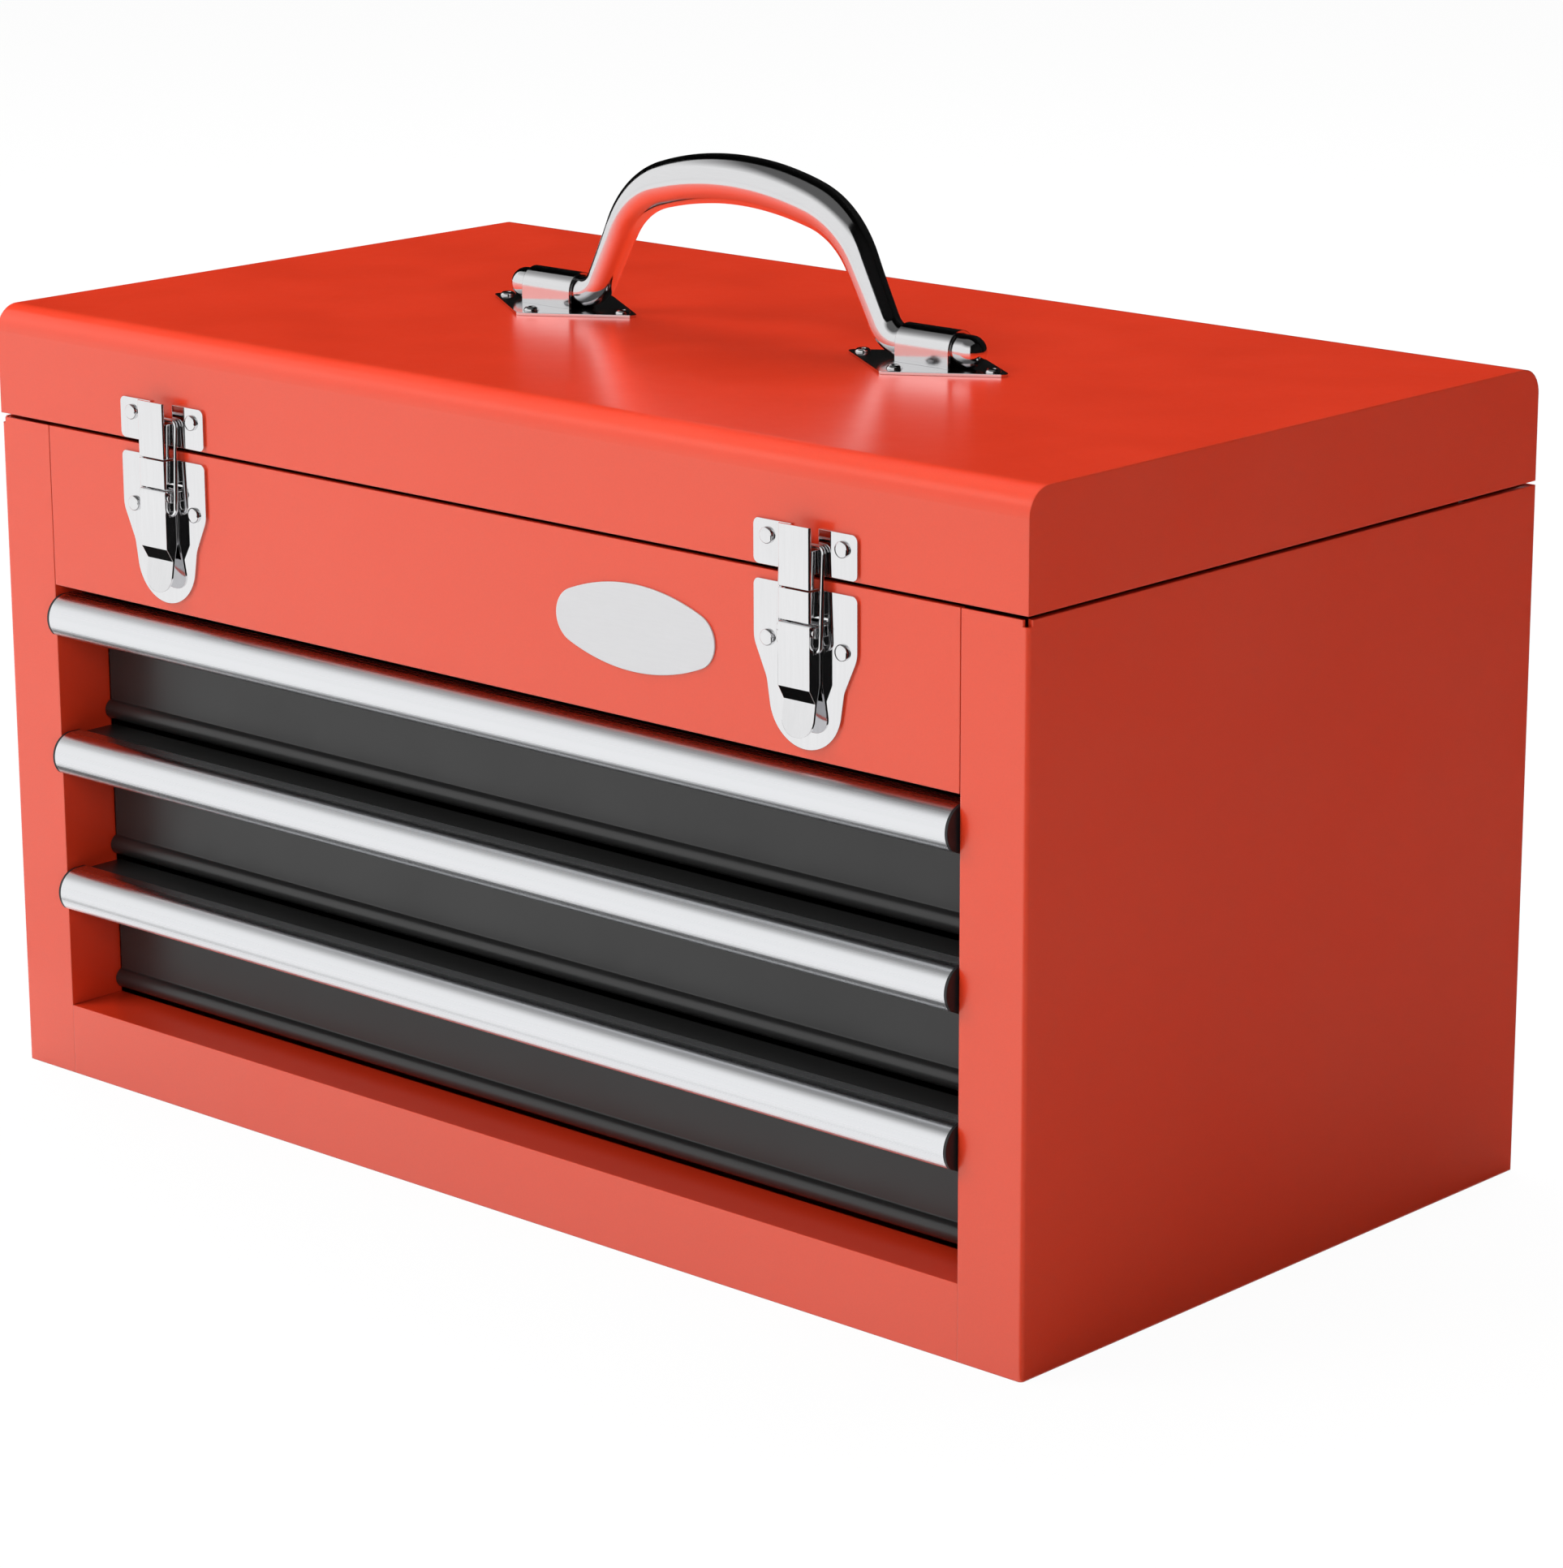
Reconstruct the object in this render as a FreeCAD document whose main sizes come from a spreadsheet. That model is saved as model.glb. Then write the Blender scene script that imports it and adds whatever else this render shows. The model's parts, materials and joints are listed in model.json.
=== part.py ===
import FreeCAD, Part
import math
import os
import re
import Sketcher

# Portable tool box with drawers, in millimetres. X runs along the width, -Y is the front, +Z is up.
# The origin is the centre of the base.

doc = FreeCAD.newDocument("ToolBox")

sizes = {
    # box
    "width": 450, "depth": 248, "body_height": 227.4, "seam_gap": 1.3, "lid_height": 36.3,
    "sheet": 1.0, "hem_height": 8.0, "run_gap": 0.3, "fit_gap": 0.05, "cut_over": 2.0,
    # cabinet
    "stile_width": 24.6, "rail_height": 24.5, "front_height": 54.4, "jamb_depth": 22.0,
    "bend_radius": 1.4, "panel_joint": 0.4, "back_flange": 12.0, "ledge_lip": 8.0,
    "till_flange": 9.0, "post_width": 16.0, "post_inset": 18.0, "notch_size": 2.0,
    # lid
    "lid_radius": 8.5, "lid_hem": 6.0,
    # drawers
    "drawer_gap": 1.0, "drawer_top_gap": 3.4, "drawer_bottom_gap": 1.8, "drawer_side_gap": 0.8,
    "front_recess": 21.6, "bead_height": 6.8, "bead_radius": 3.5, "flange_reach": 3.1,
    "pan_rise": 1.0, "pan_drop": 9.1, "pan_back_gap": 20.4,
    # pulls
    "pull_radius": 7.7, "pull_back": 3.0, "pull_rear": 4.0, "pull_wall": 1.2, "cap_thickness": 1.0,
    # slides
    "slide_width": 12.5, "slide_start": 1.0, "slide_back_gap": 4.0, "slide_lift": 1.5,
    "channel_height": 25.0, "channel_depth": 8.5, "channel_lip": 0.9, "slide_sheet": 1.0,
    "slide_gap": 0.5, "runner_depth": 7.5, "middle_length": 160.0,
    # rear hinge
    "hinge_inset": 15.0, "leaf_height": 14.0, "leaf_sheet": 0.8, "knuckle_radius": 2.2,
    "hinge_pin_radius": 1.2,
    # latches
    "latch_inset": 83.5, "plate_width": 40.6, "plate_height": 47.3, "plate_top": 2.8,
    "latch_sheet": 0.8, "latch_round": 0.72, "plate_corner": 2.0, "plate_bottom_radius": 14.2,
    "plate_blend": 9.0,
    "hump_width": 12.4, "hump_depth": 5.8, "strip_drop": 9.3, "wall_drop": 7.6,
    "pivot_drop": 12.2, "pivot_out": 3.75, "ear_sheet": 0.65, "ear_radius": 1.6, "pin_radius": 0.75,
    "lever_top": 2.3, "lever_eye": 1.9, "lever_flat": 17.1,
    "neck_drop": 21.5, "neck_out": 3.3, "lever_length": 32.1, "tab_out": 5.0, "lever_bend": 1.0,
    "tab_radius": 5.6, "crank": 5.6, "bar_out": 3.2, "hook_out": 1.85, "wire_radius": 0.75,
    "bail_length": 30.9, "bail_half": 8.2, "bushing_half": 1.15,
    # keepers
    "keeper_rise": 0.3, "keeper_height": 13.6, "keeper_hump_gap": 0.6, "keeper_strip": 14.6,
    # rivets
    "rivet_head_radius": 2.6, "rivet_head": 1.2, "rivet_half": 1.3,
    "rivet_tail_half": 2.0, "rivet_tail": 0.9,
    "rivet_spacing": 29.4, "rivet_drop": 17.2, "keeper_rivet_rise": 9.2,
    # badge
    "badge_length": 66.0, "badge_width": 27.0, "badge_sheet": 0.6, "badge_gap": 16.2,
    "badge_drop": 26.2,
    # carrying handle
    "bracket_offset": 80.0, "bracket_length": 68.0, "bracket_width": 45.0, "bracket_sheet": 1.0,
    "bracket_tip": 2.0, "saddle_inset": 8.2, "saddle_length": 22.0, "tube_radius": 5.2,
    "saddle_gap": 0.1, "foot_reach": 23.0, "foot_edge": 2.4, "foot_inset": 15.3, "foot_radius": 10.0,
    "handle_rise": 44.0, "crown_radius": 120.0, "crown_half": 33.0, "grip_radius": 8.1,
    "grip_side_radius": 7.2, "bracket_rivet_long": 27.0, "bracket_rivet_short": 15.6,
    # lid stays
    "stay_radius": 34.0, "stay_rise": 15.0, "stay_drop": 5.3, "stay_side": 3.5, "stay_sheet": 1.2,
    "stay_half": 4.4, "stay_end": 5.1, "stud_radius": 2.0, "stud_head_half": 3.2,
    "stud_head": 0.7,
}
angles = {"facet_angle": 45.0, "leg_angle": 62.5, "lid_swing": 95.0}
drawer_count = 3
# sizes that follow from the ones above, kept in the sheet as formulas
formulas = {
    "opening_top": "body_height - front_height",
    "drawer_pitch": "(opening_top - rail_height - drawer_top_gap - drawer_bottom_gap + drawer_gap)"
                    f" / {drawer_count}",
    "drawer_height": "drawer_pitch - drawer_gap",
    "pan_height": "drawer_height - pan_rise - pan_drop",
    "pan_depth": "depth - front_recess - sheet - pan_back_gap",
    "slide_length": "pan_depth - slide_start - slide_back_gap",
    "slide_rise": "pan_rise + pan_height / 2 + slide_lift",
    "latch_offset": "width / 2 - latch_inset",
    "badge_offset": "latch_offset - plate_width / 2 - badge_gap - badge_length / 2",
    "saddle_start": "bracket_offset - saddle_inset",
    "foot_end": "bracket_offset + foot_reach",
    "foot_spread": "bracket_offset - foot_inset",
}

sheet = doc.addObject("Spreadsheet::Sheet", "Sizes")
for row, (name, entry) in enumerate([*sizes.items(), *angles.items(), *formulas.items()], start=1):
    sheet.set(f"A{row}", name)
    sheet.set(f"B{row}", "=" + entry if name in formulas else str(entry))
    sheet.setAlias(f"B{row}", name)
doc.recompute()

# places that several pieces share, as sheet expressions
front = "(-depth / 2)"
back = "(depth / 2)"
inner_side = "(width / 2 - sheet)"
hem_side = "(width / 2 - 2 * sheet)"
opening_half = "(width / 2 - stile_width)"
lid_bottom = "(body_height + seam_gap)"
lid_top = "(body_height + seam_gap + lid_height)"
hinge_out = "(depth / 2 + knuckle_radius + run_gap)"
hinge_up = "(body_height + seam_gap / 2)"

TOLERANCE_SHARE = 1e-4
probe = doc.addObject("App::DocumentObjectGroup", "Probe")
nodes = []


def ex(text):
    """Sheet expression in which every size name is read from the sheet."""
    def refer(match):
        word = match.group()
        return "Sizes." + word if word in sizes or word in angles or word in formulas else word
    return re.sub(r"[a-z][a-z_]*", refer, text)


def value(text):
    return float(probe.evalExpression(ex(text)))


def new_body(name, node=True):
    body = doc.addObject("PartDesign::Body", name)
    body.Label = name
    if node:
        nodes.append(body)
    return body


def draw(body, plane, place, outlines=(), circles=()):
    """Sketch on an origin plane, moved to a place across it. A corner is (x, y), and
    (x, y, radius, turn) ends an arc that turns left (1) or right (-1)."""
    sketch = body.newObject("Sketcher::SketchObject", body.Name + "_sketch")
    origin_plane = next(item for item in body.Origin.OriginFeatures if item.Role == plane + "_Plane")
    sketch.AttachmentSupport = (origin_plane, [""])
    sketch.MapMode = "FlatFace"
    sign = "-" if plane == "XZ" else ""
    sketch.setExpression(".AttachmentOffset.Base.z", ex(f"{sign}({place})"))
    for corners in outlines:
        add_outline(sketch, corners)
    for x, y, radius in circles:
        centre = FreeCAD.Vector(value(x), value(y), 0)
        index = sketch.addGeometry(Part.Circle(centre, FreeCAD.Vector(0, 0, 1), value(radius)), False)
        bind(sketch, Sketcher.Constraint("DistanceX", -1, 1, index, 3, centre.x), x)
        bind(sketch, Sketcher.Constraint("DistanceY", -1, 1, index, 3, centre.y), y)
        bind(sketch, Sketcher.Constraint("Radius", index, value(radius)), radius)
    return sketch


def bind(sketch, constraint, text):
    number = sketch.addConstraint(constraint)
    sketch.setExpression(f"Constraints[{number}]", ex(text))


def add_outline(sketch, corners):
    points = [FreeCAD.Vector(value(c[0]), value(c[1]), 0) for c in corners]
    ends = []
    for k, corner in enumerate(corners):
        start, end = points[k - 1], points[k]
        if len(corner) == 2:
            index = sketch.addGeometry(Part.LineSegment(start, end), False)
            ends.append((index, 1, 2))
            continue
        radius = value(corner[2])
        chord = end - start
        half = chord.Length / 2
        side = FreeCAD.Vector(-chord.y, chord.x, 0) / chord.Length
        rise = math.sqrt(max(radius ** 2 - half ** 2, 0))
        centre = (start + end) / 2 + side * (rise * corner[3])
        circle = Part.Circle(centre, FreeCAD.Vector(0, 0, 1), radius)
        first, last = (start, end) if corner[3] > 0 else (end, start)
        low = math.atan2(first.y - centre.y, first.x - centre.x)
        high = math.atan2(last.y - centre.y, last.x - centre.x)
        if high < low:
            high += 2 * math.pi
        index = sketch.addGeometry(Part.ArcOfCircle(circle, low, high), False)
        ends.append((index, 1, 2) if corner[3] > 0 else (index, 2, 1))
        bind(sketch, Sketcher.Constraint("Radius", index, radius), corner[2])
    for k, (index, _, tail) in enumerate(ends):
        after, head, _ = ends[(k + 1) % len(ends)]
        sketch.addConstraint(Sketcher.Constraint("Coincident", index, tail, after, head))
        corner = corners[k]
        bind(sketch, Sketcher.Constraint("DistanceX", -1, 1, index, tail, points[k].x), corner[0])
        bind(sketch, Sketcher.Constraint("DistanceY", -1, 1, index, tail, points[k].y), corner[1])


def box(low_x, high_x, low_y, high_y):
    return [(low_x, low_y), (high_x, low_y), (high_x, high_y), (low_x, high_y)]


def square(x, y, half):
    return box(f"{x} - ({half})", f"{x} + {half}", f"{y} - ({half})", f"{y} + {half}")


def rounded(x, y, radius, sides=12):
    """Regular outline that stands for a small circle."""
    return [(f"{x} + {radius} * cos({360 / sides} deg * {k})", f"{y} + {radius} * sin({360 / sides} deg * {k})")
            for k in range(sides)]


def pad(body, plane, start, end, outlines=(), circles=()):
    """Solid between two places on the axis across the plane."""
    feature = body.newObject("PartDesign::Pad", body.Name + "_pad")
    feature.Profile = draw(body, plane, end if plane == "XZ" else start, outlines, circles)
    feature.setExpression("Length", ex(f"({end}) - ({start})"))
    return feature


def cut(body, plane, start, end, outlines=(), circles=()):
    """Opening between two places on the axis across the plane."""
    feature = body.newObject("PartDesign::Pocket", body.Name + "_cut")
    feature.Profile = draw(body, plane, start if plane == "XZ" else end, outlines, circles)
    feature.setExpression("Length", ex(f"({end}) - ({start})"))
    return feature


def edges_at(shape, x=None, y=None, z=None):
    """Names of the edges that lie at the given places, ends and middle."""
    reach = shape.BoundBox.DiagonalLength * TOLERANCE_SHARE
    names = []
    for number, edge in enumerate(shape.Edges, start=1):
        middle = edge.valueAt((edge.FirstParameter + edge.LastParameter) / 2)
        spots = [vertex.Point for vertex in edge.Vertexes] + [middle]
        tests = [(x, 0), (y, 1), (z, 2)]
        if all(abs(spot[axis] - value(want)) < reach for want, axis in tests if want for spot in spots):
            names.append(f"Edge{number}")
    return names


def round_edges(body, radius, *places):
    """Fillet on the edges at each place, given as a dictionary of coordinates."""
    doc.recompute()
    base = body.Tip
    names = []
    for place in places:
        names += edges_at(base.Shape, **place)
    feature = body.newObject("PartDesign::Fillet", body.Name + "_fillet")
    feature.Base = (base, sorted(set(names)))
    feature.setExpression("Radius", ex(radius))
    return feature


def place_at(item, x="0", y="0", z="0"):
    for axis, text in (("x", x), ("y", y), ("z", z)):
        item.setExpression(f".Placement.Base.{axis}", ex(text))


def copies(name, source, places):
    """One node of like pieces: the source at each place."""
    links = []
    for number, (x, y, z) in enumerate(places, start=1):
        link = doc.addObject("App::Link", f"{name}_copy_{number}")
        link.LinkedObject = source
        place_at(link, x, y, z)
        links.append(link)
    group = doc.addObject("Part::Compound", name)
    group.Label = name
    group.Links = links
    nodes.append(group)
    return group


def mirrored(name, source, node=True):
    """The source's mirror image across the middle plane."""
    image = doc.addObject("Part::Mirroring", name)
    image.Label = name
    image.Source = source
    image.Normal = FreeCAD.Vector(1, 0, 0)
    if node:
        nodes.append(image)
    return image


def pair(name, source):
    """One node that holds the source and its mirror image."""
    image = mirrored(name + "_mirror", source, node=False)
    group = doc.addObject("Part::Compound", name)
    group.Label = name
    group.Links = [source, image]
    nodes.append(group)
    return group


# Side panels: wall, front stile, jamb beside the drawers and hem at the top
side = new_body("side_panel_right")
pad(side, "XY", "0", "body_height", [[
    ("width / 2", back), ("width / 2", front), (opening_half, front), (opening_half, f"{front} + sheet"),
    (inner_side, f"{front} + sheet"), (inner_side, back)]])
pad(side, "XY", "rail_height", "opening_top", [
    box(opening_half, f"{opening_half} + sheet", f"{front} + sheet / 2", f"{front} + jamb_depth")])
pad(side, "XY", "body_height - hem_height", "body_height", [
    box(hem_side, inner_side, f"{front} + 2 * sheet + run_gap", f"{back} - back_flange - run_gap")])
round_edges(side, "bend_radius", {"x": "width / 2", "y": front})
cut(side, "XY", "body_height - notch_size", "body_height + cut_over", [
    box("width / 2 - notch_size", "width / 2 + cut_over", f"{front} - cut_over", f"{front} + notch_size")])
mirrored("side_panel_left", side)

# Back panel: rear sheet with flanges on the side walls and a hem
rear = new_body("back_panel")
pad(rear, "XY", "sheet", "body_height", [[
    (f"-{inner_side}", back), (f"-{inner_side}", f"{back} - back_flange"),
    (f"-{hem_side}", f"{back} - back_flange"), (f"-{hem_side}", f"{back} - sheet"),
    (hem_side, f"{back} - sheet"), (hem_side, f"{back} - back_flange"),
    (inner_side, f"{back} - back_flange"), (inner_side, back)]])
pad(rear, "XY", "body_height - hem_height", "body_height", [
    box(f"-{hem_side}", hem_side, f"{back} - 2 * sheet", f"{back} - sheet / 2")])

# Base pan: bottom sheet with the front rail and its ledge
base = new_body("base_pan")
pad(base, "YZ", f"-{opening_half}", opening_half, [[
    (front, "0"), (f"{back} - sheet", "0"), (f"{back} - sheet", "sheet"), (f"{front} + sheet", "sheet"),
    (f"{front} + sheet", "rail_height - sheet"), (f"{front} + jamb_depth - sheet", "rail_height - sheet"),
    (f"{front} + jamb_depth - sheet", "rail_height - sheet - ledge_lip"),
    (f"{front} + jamb_depth", "rail_height - sheet - ledge_lip"),
    (f"{front} + jamb_depth", "rail_height"), (front, "rail_height")]])
pad(base, "XY", "0", "sheet", [
    box(f"-{inner_side}", inner_side, f"{front} + sheet", f"{back} - sheet")])
pad(base, "XY", "0", "sheet", [
    box(f"-{inner_side}", inner_side, f"{back} - 2 * sheet", back)])

# Upper front panel: sheet between the stiles with its return above the drawers
panel_half = f"({opening_half} - panel_joint)"
panel = new_body("upper_front_panel")
pad(panel, "YZ", f"-{panel_half}", panel_half, [[
    (front, "opening_top"), (f"{front} + jamb_depth", "opening_top"),
    (f"{front} + jamb_depth", "opening_top + sheet"), (f"{front} + sheet", "opening_top + sheet"),
    (f"{front} + sheet", "body_height - hem_height"), (f"{front} + 2 * sheet", "body_height - hem_height"),
    (f"{front} + 2 * sheet", "body_height"), (front, "body_height")]])
plate_top_up = "(body_height - plate_top)"
rivet_hole = "(rivet_half + fit_gap)"
cut(panel, "XZ", f"{front} - cut_over", f"{front} + sheet + cut_over", [
    square(f"{turn} * latch_offset + {hand} * rivet_spacing / 2", f"{plate_top_up} - rivet_drop", rivet_hole)
    for turn in (-1, 1) for hand in (-1, 1)])

# Till floor: shallow pan on the panel's return
floor = new_body("till_floor")
floor_low = "(opening_top + sheet)"
pad(floor, "XY", floor_low, f"{floor_low} + till_flange", [
    box(f"-{hem_side}", hem_side, f"{front} + sheet", f"{back} - sheet")])
cut(floor, "XY", f"{floor_low} + sheet", f"{floor_low} + till_flange + cut_over", [
    box(f"-{hem_side} + sheet", f"{hem_side} - sheet", f"{front} + 2 * sheet", f"{back} - 2 * sheet")])

# Slide posts: folded uprights between the side walls and the slides
post_face = f"({opening_half} - sheet)"
post = new_body("post", node=False)
pad(post, "XY", "sheet", floor_low, [[
    (post_face, "0"), (inner_side, "0"), (inner_side, "post_width"), (f"{inner_side} - sheet", "post_width"),
    (f"{inner_side} - sheet", "sheet"), (f"{post_face} + sheet", "sheet"),
    (f"{post_face} + sheet", "post_width"), (post_face, "post_width")]])
post_rows = [f"{front} + jamb_depth + post_inset", f"{back} - post_inset - 2 * post_width"]
post_mirror = mirrored("post_mirror", post, node=False)
post_links = []
for number, row in enumerate(post_rows, start=1):
    for source in (post, post_mirror):
        link = doc.addObject("App::Link", f"slide_post_{source.Name}_{number}")
        link.LinkedObject = source
        place_at(link, "0", row, "0")
        post_links.append(link)
posts = doc.addObject("Part::Compound", "slide_posts")
posts.Label = "slide_posts"
posts.Links = post_links
nodes.append(posts)

# Drawer heights: drawer 1 is the top one
drawer_low = [f"(opening_top - drawer_top_gap - drawer_height - {step} * drawer_pitch)"
              for step in range(drawer_count)]
pan_half = f"({post_face} - slide_width)"
slide_front = f"({front} + front_recess + sheet + slide_start)"
slide_back = f"({slide_front} + slide_length)"

# Fixed channels of the slides, one section on each side of each drawer
channel = new_body("channel", node=False)
half = "(channel_height / 2)"
channel_tip = f"({post_face} - channel_depth)"
pad(channel, "XZ", slide_front, slide_back, [[
    (post_face, f"-{half}"), (post_face, half), (channel_tip, half),
    (channel_tip, f"{half} - slide_sheet - channel_lip"),
    (f"{channel_tip} + channel_lip", f"{half} - slide_sheet - channel_lip"),
    (f"{channel_tip} + channel_lip", f"{half} - slide_sheet"),
    (f"{post_face} - slide_sheet", f"{half} - slide_sheet"),
    (f"{post_face} - slide_sheet", f"-{half} + slide_sheet"),
    (f"{channel_tip} + channel_lip", f"-{half} + slide_sheet"),
    (f"{channel_tip} + channel_lip", f"-{half} + slide_sheet + channel_lip"),
    (channel_tip, f"-{half} + slide_sheet + channel_lip"), (channel_tip, f"-{half}")]])
channel_mirror = mirrored("channel_mirror", channel, node=False)
channel_links = []
for number, low in enumerate(drawer_low, start=1):
    for source in (channel, channel_mirror):
        link = doc.addObject("App::Link", f"slide_{source.Name}_{number}")
        link.LinkedObject = source
        place_at(link, "0", "0", f"{low} + slide_rise")
        channel_links.append(link)
channels = doc.addObject("Part::Compound", "slide_channels")
channels.Label = "slide_channels"
channels.Links = channel_links
nodes.append(channels)

# Piano hinge: each leaf has a plate, tabs and every second knuckle
hinge_start = "(-width / 2 + hinge_inset)"
hinge_end = "(width / 2 - hinge_inset)"
knuckles = 7
pitch = f"((width - 2 * hinge_inset) / {knuckles})"


def hinge_leaf(name, turn, first, count):
    """Leaf with its plate below (-1) or above (1) the pin and its knuckles."""
    leaf = new_body(name)
    near = f"{hinge_up} + {turn} * (knuckle_radius + run_gap)"
    far = f"{hinge_up} + {turn} * leaf_height"
    low, high = (far, near) if turn < 0 else (near, far)
    pad(leaf, "YZ", hinge_start, hinge_end, [box(back, f"{back} + leaf_sheet", low, high)])
    start = f"{hinge_start} + {first} * {pitch} + run_gap / 2"
    end = f"{hinge_start} + {first + 1} * {pitch} - run_gap / 2"
    low, high = (near, hinge_up) if turn < 0 else (hinge_up, near)
    tab = pad(leaf, "YZ", start, end, [box(back, f"{back} + leaf_sheet", low, high)])
    roll = pad(leaf, "YZ", start, end, [rounded(hinge_out, hinge_up, "knuckle_radius")])
    pattern = leaf.newObject("PartDesign::LinearPattern", name + "_pattern")
    pattern.Originals = [tab, roll]
    axis = next(item for item in leaf.Origin.OriginFeatures if item.Role == "X_Axis")
    pattern.Direction = (axis, [""])
    pattern.setExpression("Length", ex(f"{2 * (count - 1)} * {pitch}"))
    pattern.Occurrences = count
    leaf.Tip = pattern
    bore = "(hinge_pin_radius + 2 * fit_gap)"
    cut(leaf, "YZ", f"{hinge_start} - cut_over", f"{hinge_end} + cut_over",
        [rounded(hinge_out, hinge_up, bore)])
    return leaf


hinge_leaf("hinge_leaf_body", -1, 0, 4)
pin = new_body("hinge_pin")
pad(pin, "YZ", hinge_start, hinge_end, circles=[(hinge_out, hinge_up, "hinge_pin_radius")])

# Latches: shield plate with hump and ears, lever, wire bail and its bushing
out_sheet = f"({front} - latch_sheet)"
hump_front = f"({front} - hump_depth)"
hump_inside = f"({front} - hump_depth + latch_sheet)"
hump_half = "(hump_width / 2)"
wall_half = "(hump_width / 2 - latch_sheet)"
ear_inside = "(hump_width / 2 + run_gap)"
ear_outside = "(hump_width / 2 + run_gap + ear_sheet)"
pivot_up = f"({plate_top_up} - pivot_drop)"
pivot_y = f"({front} - pivot_out)"
shoulder_share = 0.39
waist_share = 0.62
waist_width_share = 0.75
hip_share = 0.79
hip_width_share = 0.685


def latch_base(name, turn):
    base_plate = new_body(name)
    outline = [("plate_width / 2", "0"), ("plate_width / 2", f"-{shoulder_share} * plate_height"),
               (f"{waist_width_share} * plate_width / 2", f"-{waist_share} * plate_height"),
               (f"{hip_width_share} * plate_width / 2", f"-{hip_share} * plate_height")]
    corners = [(x, f"{plate_top_up} + {z}") for x, z in outline]
    corners = corners[::-1] + [(f"-({x})", z) for x, z in corners]
    corners[0] = (corners[0][0], corners[0][1], "plate_bottom_radius", 1)
    pad(base_plate, "XZ", out_sheet, front, [corners])
    shoulder = f"{plate_top_up} - {shoulder_share} * plate_height"
    waist = f"{plate_top_up} - {waist_share} * plate_height"
    waist_half = f"{waist_width_share} * plate_width / 2"
    round_edges(base_plate, "plate_corner", {"x": "plate_width / 2", "z": plate_top_up},
                {"x": "-plate_width / 2", "z": plate_top_up})
    round_edges(base_plate, "plate_blend", {"x": "plate_width / 2", "z": shoulder},
                {"x": "-plate_width / 2", "z": shoulder}, {"x": waist_half, "z": waist},
                {"x": f"-{waist_half}", "z": waist})
    cut(base_plate, "XZ", f"{front} - cut_over", f"{front} + cut_over", [
        box(f"-{wall_half}", wall_half, f"{plate_top_up} - wall_drop", f"{plate_top_up} + cut_over")])
    pad(base_plate, "XY", f"{plate_top_up} - wall_drop", plate_top_up, [[
        (hump_half, f"{front} - latch_sheet / 2"), (wall_half, f"{front} - latch_sheet / 2"),
        (wall_half, hump_inside), (f"-{wall_half}", hump_inside),
        (f"-{wall_half}", f"{front} - latch_sheet / 2"), (f"-{hump_half}", f"{front} - latch_sheet / 2"),
        (f"-{hump_half}", hump_front), (hump_half, hump_front)]])
    pad(base_plate, "XY", f"{plate_top_up} - strip_drop", f"{plate_top_up} - wall_drop", [
        box(f"-{hump_half}", hump_half, hump_front, hump_inside)])
    round_edges(base_plate, "latch_round", {"x": hump_half, "y": hump_front},
                {"x": f"-{hump_half}", "y": hump_front})
    ear = [(f"{front} - latch_sheet / 2", f"{pivot_up} - ear_radius"),
           (f"{front} - latch_sheet / 2", f"{pivot_up} + ear_radius"), (pivot_y, f"{pivot_up} + ear_radius"),
           (f"{pivot_y} - ear_radius", pivot_up, "ear_radius", 1),
           (pivot_y, f"{pivot_up} - ear_radius", "ear_radius", 1)]
    pad(base_plate, "YZ", ear_inside, ear_outside, [ear])
    pad(base_plate, "YZ", f"-{ear_outside}", f"-{ear_inside}", [ear])
    cut(base_plate, "YZ", f"-{ear_outside} - cut_over", f"{ear_outside} + cut_over",
        [rounded(pivot_y, pivot_up, "(pin_radius + 2 * fit_gap)")])
    cut(base_plate, "XZ", f"{out_sheet} - cut_over", f"{front} + cut_over", [
        square(f"{hand} * rivet_spacing / 2", f"{plate_top_up} - rivet_drop", rivet_hole) for hand in (-1, 1)])
    place_at(base_plate, f"{turn} * latch_offset")
    return base_plate


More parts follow.
